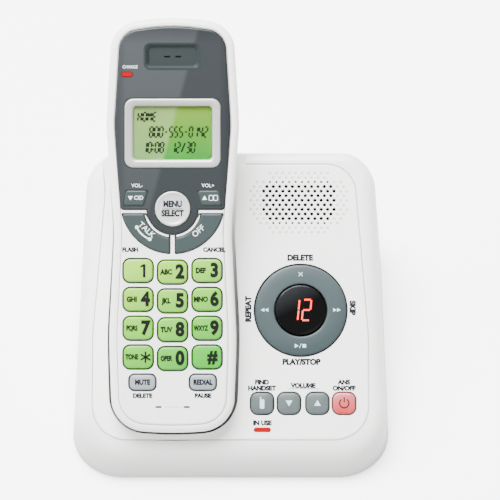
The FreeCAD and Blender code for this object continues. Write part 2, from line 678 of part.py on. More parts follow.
def base_mat():
    """Rubber contact sheet under the square keys and round the rim of the ring."""
    top = "-base_stack + mat_thickness + fit_gap"
    low = "-base_stack + fit_gap"
    half = sizes.button_width / 2 + sizes.flange_width
    left, right = sizes.find_u - half, sizes.answer_u + half
    low_v = sizes.button_v - sizes.button_height / 2 - sizes.flange_width
    high_v = sizes.ring_v - sizes.mat_inner
    middle = (left + right) / 2
    body = new_body("mat", PANEL)
    prism(body, rectangle(middle, (low_v + sizes.mat_high) / 2, right - left, sizes.mat_high - low_v,
                          sizes.sheet_corner), low, top)
    prism(body, rectangle(sizes.ring_u, (low_v + high_v) / 2, sizes.mat_neck, high_v - low_v,
                          sizes.sheet_corner), low, top)
    disc = new_sketch(body, low)
    add_circle(disc, "ring_u", "ring_v", "ring_flange")
    extrude(body, disc, "mat_thickness")
    hole = cylinder("mat_hole", PANEL, "ring_u", "ring_v", "mat_inner", "-" + PAST, "0")
    return finish(cut(body, hole), "base_keypad_mat")


def base_board():
    """Printed circuit board that carries the display, the key contacts and the answering circuit."""
    width = sizes.board_right - sizes.board_left
    height = sizes.board_high - sizes.board_low
    corners = rectangle((sizes.board_left + sizes.board_right) / 2,
                        (sizes.board_low + sizes.board_high) / 2, width, height, sizes.sheet_corner)
    board = block("board", PANEL, corners, "-base_stack - board_thickness", "-base_stack")
    return finish(board, "base_circuit_board")


def base_speaker():
    """Loudspeaker behind the grille: basket, cone housing and magnet, turned on one axis."""
    top = "-plate_thickness - 1"
    rim = cylinder("speaker_rim", PANEL, "grille_u", "grille_v", "speaker_radius", top + " - 1.2", top)
    bowl = cylinder("speaker_bowl", PANEL, "grille_u", "grille_v", "speaker_radius * 0.8",
                    top + " - speaker_depth * 0.6", top)
    magnet = cylinder("speaker_magnet_disc", PANEL, "grille_u", "grille_v", "speaker_magnet",
                      top + " - speaker_depth", top)
    hollow = cylinder("speaker_hollow", PANEL, "grille_u", "grille_v", "speaker_radius * 0.7",
                      top + " - 1.2", top + " + 1")
    return finish(cut(join(rim, bowl, magnet), hollow), "base_speaker")


def rear_socket(name, bore):
    """A socket block that stands in its hole in the rear wall."""
    shell = box(name + "_block", WORLD, name + "_x", "foot_rear - base_wall - %s_depth / 2" % name,
                name + "_z - %s_height / 2 + fit_gap" % name, name + "_width", name + "_depth",
                name + "_height")
    return finish(cut(shell, bore), "base_" + name)


def line_jack():
    """Telephone-line socket: a block with a keyed opening to the rear."""
    front = "foot_rear - base_wall - line_socket_depth / 2"
    bore = box("line_bore", WORLD, "line_jack_x", front, "line_jack_z - line_socket_height / 2",
               "line_socket_width", "line_socket_depth + fit_gap", "line_socket_height")
    key = box("line_key", WORLD, "line_jack_x", front, "line_jack_z - line_socket_height / 2 - 1.6",
              "line_socket_width * 0.4", "line_socket_depth + fit_gap", "line_socket_height / 2")
    return rear_socket("line_jack", join(bore, key))


def power_jack():
    """Round socket for the mains adapter, with a pin down its middle."""
    rods = []
    for name, radius, reach in (("bore", "power_bore", "0"), ("pin", "power_pin", "1")):
        rod = doc.addObject("Part::Cylinder", "power_" + name + "_rod")
        bind(rod, "Radius", radius)
        bind(rod, "Height", "power_bore_depth + fit_gap - " + reach)
        bind(rod, "Placement", WORLD + " * create(<<placement>>; create(<<vector>>; power_jack_x;"
             " foot_rear - base_wall + fit_gap - %s; power_jack_z);"
             " create(<<rotation>>; create(<<vector>>; 1; 0; 0); 90))" % reach)
        rods.append(rod)
    return rear_socket("power_jack", cut(*rods))


def charge_contacts():
    """Two sprung metal tips that stand through the floor of the cradle."""
    for side, x in (("left", "-contact_x"), ("right", "contact_x")):
        low = "-contact_flange_depth - contact_plate"
        tip = box("tip_" + side, HANDSET, x, "contact_s", low, "contact_width", "contact_length",
                  "contact_flange_depth + contact_plate - contact_plate_depth - fit_gap")
        flange = box("tip_flange_" + side, HANDSET, x, "contact_s", low, "contact_width + 2",
                     "contact_length + 2", "contact_plate")
        made = join(tip, flange)
        finish(made, "base_charge_contact_" + side)


# ---------------------------------------------------------------- handset keys and their places
def number_keys():
    """Centre of each of the twelve number keys; the middle column sits a little lower."""
    names = ("1", "2", "3", "4", "5", "6", "7", "8", "9", "star", "0", "hash")
    places = {}
    for index, name in enumerate(names):
        row_index, column = divmod(index, 3)
        drop = sizes.number_drop if column == 1 else 0.0
        places["key_" + name] = ((column - 1) * sizes.number_x,
                                 sizes.number_s - row_index * sizes.number_pitch - drop)
    return places


def key_outlines(grow=0.0):
    """Outline of every straight-sided or round-cornered handset key, grown by a clearance."""
    outlines = {}
    for name, (across, along) in number_keys().items():
        outlines[name] = rectangle(across, along, sizes.number_width, sizes.number_height,
                                   sizes.number_radius)
    for name, side in (("key_mute", -1), ("key_redial", 1)):
        outlines[name] = rectangle(side * sizes.soft_x, sizes.soft_s, sizes.soft_width,
                                   sizes.soft_height, sizes.soft_radius)
    right = [(sizes.volume_low_in, sizes.volume_low_s), (sizes.volume_low_out, sizes.volume_low_s),
             (sizes.volume_top_out, sizes.volume_top_s), (sizes.volume_top_in, sizes.volume_top_s)]
    left = [(-x, y) for x, y in reversed(right)]
    for name, corners in (("key_volume_down", left), ("key_volume_up", right)):
        outlines[name] = [corner + (sizes.volume_corner,) for corner in corners]
    return {name: inset(corners, -grow) for name, corners in outlines.items()}


def circle_meet(centre_s, radius, value, upright):
    """Where a circle about (0, centre_s) meets x = value (upright) or s = value, on the right."""
    if upright:
        return Vector(value, centre_s - math.sqrt(radius ** 2 - value ** 2), 0)
    return Vector(math.sqrt(radius ** 2 - (value - centre_s) ** 2), value, 0)


def between_on_circle(centre_s, radius, first, second):
    """The point of the circle about (0, centre_s) that lies halfway between two of its points."""
    middle = (first + second) * 0.5 - Vector(0, centre_s, 0)
    middle.normalize()
    return Vector(0, centre_s, 0) + middle * radius


def sector_edges(side, grow):
    """Curved call key beside the menu key: two arcs, a top edge and an upright edge."""
    inner, outer = sizes.talk_inner - grow, sizes.talk_outer + grow
    top, upright = sizes.talk_top_s + grow, sizes.talk_side_x - grow
    a = circle_meet(sizes.menu_s, inner, top, False)
    b = circle_meet(sizes.talk_centre_s, outer, top, False)
    c = circle_meet(sizes.talk_centre_s, outer, upright, True)
    d = circle_meet(sizes.menu_s, inner, upright, True)
    low = between_on_circle(sizes.talk_centre_s, outer, b, c)
    high = between_on_circle(sizes.menu_s, inner, a, d)
    a, b, c, d, low, high = [Vector(side * p.x, p.y, 0) for p in (a, b, c, d, low, high)]
    return [Part.LineSegment(a, b), Part.Arc(b, low, c), Part.LineSegment(c, d), Part.Arc(d, high, a)]


def sector(body, side, grow, low, high):
    """Add a call key's outline between two heights to a body."""
    sketch = new_sketch(body, low)
    for edge in sector_edges(side, grow):
        sketch.addGeometry(edge, False)
    return extrude(body, sketch, "(%s) - (%s)" % (high, low))


def handset_keys():
    """Every key of the handset, each a cap with a flange behind the face."""
    low, top = "-face_thickness - 1", "key_proud"
    under = "-face_thickness - fit_gap"
    for name, corners in key_outlines().items():
        button_cap(name + "_cap", HANDSET, corners, low, top, under, name, sizes.key_edge)
    menu = cylinder("menu_cap", HANDSET, "0", "menu_s", "menu_radius", low, top)
    rim = cylinder("menu_rim", HANDSET, "0", "menu_s", "menu_radius + flange_width",
                   "%s - flange_thickness" % under, under)
    made = join(menu, rim)
    finish(round_edges(made, sizes.key_edge, at_height_later(menu, sizes.key_proud)), "key_menu")
    for name, side in (("key_talk", -1), ("key_off", 1)):
        body = new_body(name + "_cap", HANDSET)
        sector(body, side, 0.0, low, top)
        sector(body, side, sizes.talk_flange, "%s - flange_thickness" % under, under)
        upright = round_edges(body, sizes.talk_corner, upright_edges_later(body, 0.5))
        finish(round_edges(upright, sizes.key_edge, at_height_later(body, sizes.key_proud)), name)


def upright_edges_later(body, shortest):
    """Edges that run along a body's own Z axis, reach its top and are longer than a limit."""
    doc.recompute()
    inverse = body.Placement.inverse()

    def picked(edge):
        start = inverse.multVec(edge.valueAt(edge.FirstParameter))
        end = inverse.multVec(edge.valueAt(edge.LastParameter))
        flat = math.hypot(start.x - end.x, start.y - end.y) < 1e-4
        return flat and abs(start.z - end.z) > shortest and max(start.z, end.z) > 0
    return picked


def key_holes():
    """Openings for all the handset's keys, through the face and the fascia."""
    low, high = "-2 * face_thickness", "2 * face_thickness"
    holes = new_body("key_holes", HANDSET)
    for corners in key_outlines(sizes.slide_gap).values():
        prism(holes, corners, low, high)
    menu = new_sketch(holes, low)
    add_circle(menu, "0", "menu_s", "menu_radius + slide_gap")
    extrude(holes, menu, "4 * face_thickness")
    sector(holes, -1, sizes.slide_gap, low, high)
    sector(holes, 1, sizes.slide_gap, low, high)
    return holes


# ---------------------------------------------------------------- handset casing
def span_corners(width, low, high, radius):
    """A centred rectangle between two places along the handset."""
    return rectangle(0, (low + high) / 2, width, high - low, radius)


def lens_corners():
    """Outline of the window over the display."""
    return span_corners(sizes.lens_width, sizes.lens_low, sizes.lens_high, sizes.lens_radius)


def front_housing():
    """Front half of the handset: an inlaid face with every opening, and two screw posts."""
    outline = inset(handset_corners(), sizes.face_inset + sizes.fit_gap)
    face = block("face", HANDSET, outline, "-face_thickness", "face_proud")
    face = round_edges(face, sizes.face_edge, at_height_later(face, sizes.face_proud))
    seat = block("face_seat", HANDSET, inset(fascia_corners(), -sizes.fit_gap / 2), "-fascia_recess", PAST)
    bulge = cylinder("face_bulge", HANDSET, "0", "menu_s", "bulge_radius + fit_gap", "-fascia_recess", PAST)
    holes = new_body("face_holes", HANDSET)
    low, high = "-2 * face_thickness", "2 * face_thickness"
    window = inset(lens_corners(), sizes.lens_ledge)
    prism(holes, window, low, high)
    for side in (-1, 1):
        prism(holes, pill(side * sizes.ear_slot_x, sizes.ear_s, sizes.slot_length, sizes.slot_width),
              low, high)
        prism(holes, pill(side * sizes.mic_x, sizes.mic_s, sizes.slot_length, sizes.slot_width), low, high)
    prism(holes, pill(sizes.charge_x, sizes.charge_s, sizes.charge_length + 2 * sizes.fit_gap,
                      sizes.charge_width + 2 * sizes.fit_gap), low, high)
    posts = [cylinder("face_post_" + side, HANDSET, x, "handset_screw_s", "handset_boss",
                      "-front_room + fit_gap", "-face_thickness / 2")
             for side, x in (("left", "-handset_screw_x"), ("right", "handset_screw_x"))]
    pilots = [cylinder("face_pilot_" + side, HANDSET, x, "handset_screw_s", "screw_radius",
                       "-2 * front_room", "-face_thickness")
              for side, x in (("left", "-handset_screw_x"), ("right", "handset_screw_x"))]
    made = cut(join(face, *posts), seat, bulge, holes, key_holes(), *pilots)
    return finish(made, "handset_front_housing")


def fascia_corners():
    """Outline of the fascia: the face's outline above the shoulders."""
    distance = sizes.face_inset + sizes.fascia_inset
    outer = inset(handset_corners(), distance)
    half = (sizes.handset_waist + sizes.handset_width) / 4 - distance - 0.5
    right = [(half, sizes.fascia_low, sizes.fascia_corner)]
    right += [corner for corner in outer if corner[0] >= 0 and corner[1] > sizes.widest_s - 10]
    return mirrored(right)


def fascia():
    """Contrasting fascia over the display, the earpiece and the menu key."""
    low = "-fascia_recess + fit_gap / 3"
    top = "fascia_thickness - fascia_recess + face_proud"
    body = new_body("fascia_plate", HANDSET)
    prism(body, fascia_corners(), low, top)
    sketch = new_sketch(body, low)
    add_circle(sketch, "0", "menu_s", "bulge_radius")
    extrude(body, sketch, "(%s) - (%s)" % (top, low))
    made = round_edges(body, sizes.face_edge, at_height_later(body, number(top)))
    holes = new_body("fascia_holes", HANDSET)
    prism(holes, span_corners(sizes.bezel_width + sizes.fit_gap, sizes.bezel_low - sizes.fit_gap / 2,
                              sizes.bezel_high + sizes.fit_gap / 2, sizes.bezel_radius), "-5", "5")
    for side in (-1, 1):
        prism(holes, pill(side * sizes.ear_slot_x, sizes.ear_s, sizes.slot_length, sizes.slot_width),
              "-5", "5")
    prism(holes, pill(sizes.charge_x, sizes.charge_s, sizes.charge_length + 2 * sizes.fit_gap,
                      sizes.charge_width + 2 * sizes.fit_gap), "-5", "5")
    ear = block("fascia_ear", HANDSET, rectangle(0, sizes.ear_s, sizes.ear_width, sizes.ear_height, 2.0),
                "face_proud - ear_depth", "5")
    return finish(cut(made, holes, ear, key_holes()), "handset_fascia")


def display_bezel():
    """Pale frame round the display, standing in the fascia."""
    outer = block("bezel_outer", HANDSET,
                  span_corners(sizes.bezel_width, sizes.bezel_low, sizes.bezel_high, sizes.bezel_radius),
                  "-fascia_recess + fit_gap / 3", "bezel_proud + face_proud")
    soft = round_edges(outer, sizes.key_edge, at_height_later(outer, number("bezel_proud + face_proud")))
    hole = block("bezel_hole", HANDSET,
                 lens_corners(), "-" + PAST, PAST)
    return finish(cut(soft, hole), "handset_display_bezel")


def display_lens():
    """Clear window that lies on the ledge of the face, inside the bezel."""
    corners = inset(lens_corners(),
                    sizes.fit_gap / 2)
    lens = block("lens", HANDSET, corners, "-fascia_recess + fit_gap / 3",
                 "-fascia_recess + fit_gap / 3 + lens_thickness")
    return finish(lens, "handset_display_lens")


def lcd():
    """Liquid-crystal display module behind the window."""
    corners = span_corners(sizes.lcd_width, sizes.lcd_low, sizes.lcd_high, 0.5)
    low = "-face_thickness - fit_gap - lcd_depth"
    return finish(block("lcd_module", HANDSET, corners, low, "-face_thickness - fit_gap"), "handset_lcd")


def rear_housing():
    """Back half of the handset: a deep tub with a battery bay and a recess for its lid."""
    outline = handset_corners()
    tub = common(block("tub_outline", HANDSET, outline, "-back_peak - 20", "0"),
                 back_slab("tub_side", 0, FAR / 2, "handset_width"))
    doc.recompute()
    place = handset_placement()
    top_edges = at_height(place, 0)
    tub = round_edges(tub, sizes.band_edge, top_edges)
    tub = round_edges(tub, sizes.back_edge, back_edges(tub, place))
    seat = block("tub_seat", HANDSET, inset(outline, sizes.face_inset),
                 "-face_thickness - fit_gap / 3", "9")
    room = block("tub_room", HANDSET, inset(outline, sizes.handset_side_wall), "-front_room", "9")
    low_room = block("tub_low_room", HANDSET,
                     span_corners(2 * sizes.room_half_width, sizes.low_room_start,
                                  sizes.low_room_end, 3), "-low_room", "0")
    high_room = block("tub_high_room", HANDSET,
                      span_corners(2 * sizes.room_half_width, sizes.high_room_start,
                                   sizes.high_room_end, 5), "-high_room", "0")
    ringer = cylinder("tub_ringer", HANDSET, "0", "ringer_s", "ringer_radius + 2 * fit_gap",
                      "-(%s) + ringer_wall" % back_depth(sizes.ringer_s), "0")
    slots = new_body("tub_slots", HANDSET)
    for index in (-2, -1, 0, 1, 2):
        prism(slots, pill(0, sizes.ringer_s + 2 * index * sizes.slot_width,
                          sizes.ringer_slot - abs(index), sizes.slot_width), "-" + PAST, "-high_room")
    bay_end = sizes.bay_start + sizes.bay_length
    bay = block("tub_bay", HANDSET, span_corners(2 * sizes.bay_half_width, sizes.bay_start, bay_end, 2),
                "-40", "-front_room - partition")
    low, high = lid_span()
    gap = sizes.fit_gap
    lid_recess = common(
        block("tub_lid_outline", HANDSET,
              span_corners(sizes.lid_width + 2 * gap, low - sizes.lid_travel - 2 * gap, high + gap,
                           sizes.lid_corner + gap), "-40", "0"),
        cut(box("tub_lid_block", HANDSET, "0", "lid_start", "-40", "60", "200", "40"),
            back_slab("tub_lid_side", -(sizes.lid_thickness + gap), 50, "40")))
    lead_way = box("tub_lead_way", HANDSET, "bay_half_width - plug_width / 2 - 1",
                   "bay_start + bay_length - plug_depth / 2 - 1", "-front_room - 3",
                   "plug_width + 2 * fit_gap", "plug_depth + 2 * fit_gap", "6")
    screws = []
    for side, x in (("left", "-handset_screw_x"), ("right", "handset_screw_x")):
        screws.append(cylinder("tub_screw_" + side, HANDSET, x, "handset_screw_s",
                               "screw_radius + fit_gap", "-30", "0"))
        screws.append(cylinder("tub_head_" + side, HANDSET, x, "handset_screw_s",
                               "handset_screw_head + 2 * fit_gap", "-30", "-handset_screw_floor"))
    plates = [box("tub_contact_" + side, HANDSET, x, "contact_s", "-30",
                  "contact_width + 2 * contact_margin", "contact_length + 2 * contact_margin",
                  "30 - contact_plate_depth + contact_plate")
              for side, x in (("left", "-contact_x"), ("right", "contact_x"))]
    made = cut(tub, seat, room, low_room, high_room, ringer, slots, bay, lid_recess, lead_way,
               *screws, *plates)
    return finish(made, "handset_rear_housing")


def handset_placement():
    """The handset frame as a placement."""
    probe = next(thing for thing in doc.Objects if thing.Name == "tub_outline")
    return probe.Placement


def back_edges(thing, place):
    """A test for the edges round the back: on the back line and on the outline."""
    doc.recompute()
    inverse = place.inverse()

    def picked(edge):
        first, last = edge.FirstParameter, edge.LastParameter
        points = [inverse.multVec(edge.valueAt(first + (last - first) * k / 4)) for k in range(5)]
        on_back = all(p.z < -sizes.back_low / 2 for p in points)
        across = max(p.x for p in points) - min(p.x for p in points)
        along = max(p.y for p in points) - min(p.y for p in points)
        rises = max(p.z for p in points) - min(p.z for p in points)
        crosses = across > sizes.handset_waist * 0.9 and along < sizes.handset_crown * 3
        is_chord = crosses and abs(points[2].y - sizes.handset_length / 2) < sizes.handset_length * 0.45
        return on_back and not is_chord and rises < sizes.back_low / 2
    return picked


def lid_span():
    """Where the battery lid lies along the handset."""
    return sizes.lid_start, sizes.lid_start + sizes.lid_length


def battery_cover():
    """Sliding lid over the battery bay, following the line of the back."""
    low, high = lid_span()
    plate = back_slab("lid_side", 0, 0, "lid_width / 2", low, high)
    above = back_slab("lid_above", -sizes.lid_thickness, 30, "40")
    lid = cut(plate, above)
    doc.recompute()
    place = handset_placement()
    inverse = place.inverse()

    def corners(edge):
        start = inverse.multVec(edge.valueAt(edge.FirstParameter))
        end = inverse.multVec(edge.valueAt(edge.LastParameter))
        return abs(start.x - end.x) + abs(start.y - end.y) < 1e-4
    return finish(round_edges(lid, sizes.lid_corner, corners), "handset_battery_cover")


# ---------------------------------------------------------------- handset insides
def handset_insides():
    """Everything between the two halves of the handset."""
    top = "-face_thickness - fit_gap"
    receiver = cylinder("receiver", HANDSET, "0", "ear_s", "receiver_radius",
                        top + " - receiver_depth", top)
    finish(receiver, "handset_receiver")
    finish(cylinder("mic", HANDSET, "0", "mic_s", "mic_radius", top + " - mic_depth", top),
           "handset_microphone")
    light = new_body("charge_light", HANDSET)
    prism(light, pill(sizes.charge_x, sizes.charge_s, sizes.charge_length, sizes.charge_width),
          top + " - 0.8", "face_proud + light_proud + fascia_thickness - fascia_recess")
    finish(light, "handset_charge_light")
    mat = block("handset_mat_sheet", HANDSET,
                span_corners(sizes.handset_board_width, sizes.handset_board_low,
                             sizes.handset_mat_high, 2), "-handset_stack - handset_mat",
                "-handset_stack")
    finish(mat, "handset_keypad_mat")
    board_top = "-handset_stack - handset_mat - fit_gap"
    board = block("handset_board", HANDSET,
                  span_corners(sizes.handset_board_width, sizes.handset_board_low,
                               sizes.handset_board_high, 2), board_top + " - board_thickness", board_top)
    finish(board, "handset_circuit_board")
    floor = "-(%s) + ringer_wall + fit_gap" % back_depth(sizes.ringer_s)
    finish(cylinder("ringer_can", HANDSET, "0", "ringer_s", "ringer_radius", floor,
                    floor + " + ringer_depth"), "handset_ringer")


def battery_pack():
    """Two cells side by side, with a plug and short lead to the board."""
    cells = []
    depth = "-front_room - partition - fit_gap - cell_radius"
    for side, sign in (("left", "-"), ("right", "")):
        cell = doc.addObject("Part::Cylinder", "cell_" + side)
        bind(cell, "Radius", "cell_radius")
        bind(cell, "Height", "cell_length")
        bind(cell, "Placement", HANDSET + " * create(<<placement>>; create(<<vector>>;"
             " %s(cell_radius + fit_gap); bay_start + 1; %s);"
             " create(<<rotation>>; create(<<vector>>; 1; 0; 0); -90))" % (sign, depth))
        cells.append(cell)
    strap = box("cell_strap", HANDSET, "0", "bay_start + 1 + cell_length / 2", depth + " - 0.5",
                "2 * cell_radius", "cell_length * 0.9", "1")
    finish(join(*cells, strap), "handset_battery_pack")
    plug = box("lead_plug", HANDSET, "bay_half_width - plug_width / 2 - 1",
               "bay_start + bay_length - plug_depth / 2 - 1", "-front_room - plug_length",
               "plug_width", "plug_depth", "plug_length")
    lead = doc.addObject("Part::Cylinder", "lead_wire")
    bind(lead, "Radius", "lead_radius")
    bind(lead, "Height", "4.5")
    bind(lead, "Placement", HANDSET + " * create(<<placement>>; create(<<vector>>;"
         " bay_half_width - plug_width / 2 - 1; bay_start + bay_length - plug_depth / 2 - 1;"
         " -front_room - plug_length - 4); create(<<rotation>>; 0; 0; 0))")
    finish(join(plug, lead), "handset_battery_lead")


def handset_metal():
    """Charging plates in the foot of the handset, and the two casing screws."""
    plates = [box("plate_" + side, HANDSET, x, "contact_s", "-contact_plate_depth",
                  "contact_width + 2", "contact_length + 2", "contact_plate - fit_gap")
              for side, x in (("left", "-contact_x"), ("right", "contact_x"))]
    finish(join(*plates), "handset_charge_contacts")
    solids = []
    for side, x in (("left", "-handset_screw_x"), ("right", "handset_screw_x")):
        head = cylinder("case_screw_head_" + side, HANDSET, x, "handset_screw_s", "handset_screw_head",
                        "-handset_screw_floor - 1.4", "-handset_screw_floor")
        shank = cylinder("case_screw_shank_" + side, HANDSET, x, "handset_screw_s", "screw_radius",
                         "-handset_screw_floor - 1", "-face_thickness - 1")
        slot = box("case_screw_slot_" + side, HANDSET, x, "handset_screw_s", "-handset_screw_floor - 2",
                   "4 * screw_radius", "screw_radius / 2", "1.2")
        solids.append(cut(join(head, shank), slot))
    finish(join(*solids), "handset_screws")


# ---------------------------------------------------------------- build, check, write
def build():
    """Make every sub-part, then check the whole document."""
    for make in (upper_housing, faceplate, bottom_cover, feet, base_screws, base_buttons, ring_button,
                 ring_carrier, display_window, led_display, base_light, base_mat, base_board,
                 base_speaker, line_jack, power_jack, charge_contacts, front_housing, fascia,
                 display_bezel, display_lens, lcd, rear_housing, battery_cover, handset_insides,
                 battery_pack, handset_metal, handset_keys):
        make()
    doc.recompute()
    for thing in doc.Objects:
        if "Invalid" in thing.State or "Error" in thing.State:
            raise RuntimeError("%s failed: %s" % (thing.Name, thing.State))
    for part in PARTS:
        if part.Shape.isNull() or not part.Shape.isValid():
            raise RuntimeError("%s has no sound shape" % part.Label)


def write():
    """Write one STEP file for each sub-part."""
    os.makedirs("parts", exist_ok=True)
    for part in PARTS:
        part.Shape.exportStep(os.path.join("parts", part.Label + ".step"))


build()
write()
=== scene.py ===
"""Looks of a cordless phone standing in its answering base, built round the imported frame.

Every length is in metres. Sizes that belong to a face are given in millimetres in that face's
own frame (across, along, out) and are placed by a LocalFrame.
"""
import json
import logging
import math
from dataclasses import dataclass, field, replace
from enum import Enum
from typing import Dict, List, Optional, Sequence, Tuple

import bpy
import numpy as np
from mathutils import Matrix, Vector


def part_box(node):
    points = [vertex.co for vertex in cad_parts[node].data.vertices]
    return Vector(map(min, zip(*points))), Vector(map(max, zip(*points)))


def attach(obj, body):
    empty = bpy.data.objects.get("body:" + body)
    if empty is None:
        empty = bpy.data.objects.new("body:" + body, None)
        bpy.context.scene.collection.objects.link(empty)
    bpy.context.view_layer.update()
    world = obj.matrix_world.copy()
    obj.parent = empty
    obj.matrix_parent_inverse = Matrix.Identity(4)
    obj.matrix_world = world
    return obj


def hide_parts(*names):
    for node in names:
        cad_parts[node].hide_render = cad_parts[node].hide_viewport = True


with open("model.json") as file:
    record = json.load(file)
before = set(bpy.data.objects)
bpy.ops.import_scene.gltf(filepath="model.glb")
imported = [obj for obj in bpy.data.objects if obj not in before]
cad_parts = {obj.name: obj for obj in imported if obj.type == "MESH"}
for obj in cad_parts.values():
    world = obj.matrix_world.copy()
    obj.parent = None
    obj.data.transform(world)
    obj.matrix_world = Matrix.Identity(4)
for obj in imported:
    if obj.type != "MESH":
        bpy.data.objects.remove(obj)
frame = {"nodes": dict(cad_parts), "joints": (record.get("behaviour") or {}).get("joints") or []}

LOG = logging.getLogger("phone")
MM = 0.001
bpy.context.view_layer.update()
Colour = Tuple[float, float, float]
Shape = Tuple[np.ndarray, List]
KEY_MARGIN = 1.2
INK_HEIGHT = 0.03
LINE_DEPTH, LINE_HEIGHT = 0.05, 0.015
SHARP_ANGLE = math.radians(38)


def srgb(code: str) -> Colour:
    """Turn a six-digit colour code into linear red, green and blue.

    Args:
        code: Hexadecimal digits, two for each channel.

    Returns:
        The three channels in linear light.
    """
    channels = [int(code[i:i + 2], 16) / 255 for i in (0, 2, 4)]
    return tuple(c / 12.92 if c <= 0.04045 else ((c + 0.055) / 1.055) ** 2.4 for c in channels)


# ------------------------------------------------------------------ frames
@dataclass(frozen=True)
class LocalFrame:
    """A face's own axes: across, along and out of the face."""

    origin: np.ndarray
    along: np.ndarray
    out: np.ndarray

    @property
    def across(self) -> np.ndarray:
        """The first axis, at right angles to the other two."""
        return np.cross(self.along, self.out)

    def place(self, points: np.ndarray) -> np.ndarray:
        """Move points from this frame, in millimetres, to the shared frame in metres.

        Args:
            points: An (n, 3) array of across, along and out.

        Returns:
            An (n, 3) array in the shared frame.
        """
        axes = np.stack([self.across, self.along, self.out])
        return self.origin + np.asarray(points, float).reshape(-1, 3) @ axes * MM

    def extent(self, node: str) -> Tuple[np.ndarray, np.ndarray]:
        """Measure a CAD node along this frame's axes.

        Args:
            node: Name of the node.

        Returns:
            Its lowest and highest across, along and out, in millimetres.
        """
        mesh = frame["nodes"][node].data
        flat = np.empty(len(mesh.vertices) * 3, np.float32)
        mesh.vertices.foreach_get("co", flat)
        axes = np.stack([self.across, self.along, self.out], axis=1)
        local = (flat.reshape(-1, 3) - self.origin) @ axes / MM
        return local.min(0), local.max(0)

    def middle(self, node: str) -> np.ndarray:
        """Middle of a CAD node across and along, with the height of its top, in millimetres."""
        low, high = self.extent(node)
        return np.array([(low[0] + high[0]) / 2, (low[1] + high[1]) / 2, high[2]])


def cap_size(face: LocalFrame, node: str) -> np.ndarray:
    """Width and height of a key's visible cap, in millimetres."""
    low, high = face.extent(node)
    return high[:2] - low[:2] - KEY_MARGIN


def frame_on(joint: str, centre_node: str, top_node: str) -> LocalFrame:
    """A frame whose out axis opposes a press joint, centred on one node and level with another.

    Args:
        joint: Name of a press joint that moves into the face.
        centre_node: Node whose middle is the origin across and along.
        top_node: Node whose highest point is at height zero.

    Returns:
        The face's frame.
    """
    axis = next(j["axis"] for j in frame["joints"] if j["name"] == joint)
    out = -np.asarray(axis, float)
    along = np.cross(out, np.array([1.0, 0.0, 0.0]))
    rough = LocalFrame(np.zeros(3), along, out)
    centre, top = rough.middle(centre_node), rough.extent(top_node)[1][2]
    origin = rough.place(np.array([[centre[0], centre[1], top]]))[0]
    return LocalFrame(origin, along, out)


PANEL = frame_on("base_find_button_press", "base_ring_button", "base_faceplate")
FACE = frame_on("key_5_press", "key_menu", "handset_front_housing")
FLOOR = LocalFrame(np.zeros(3), np.array([0.0, 1.0, 0.0]), np.array([0.0, 0.0, 1.0]))


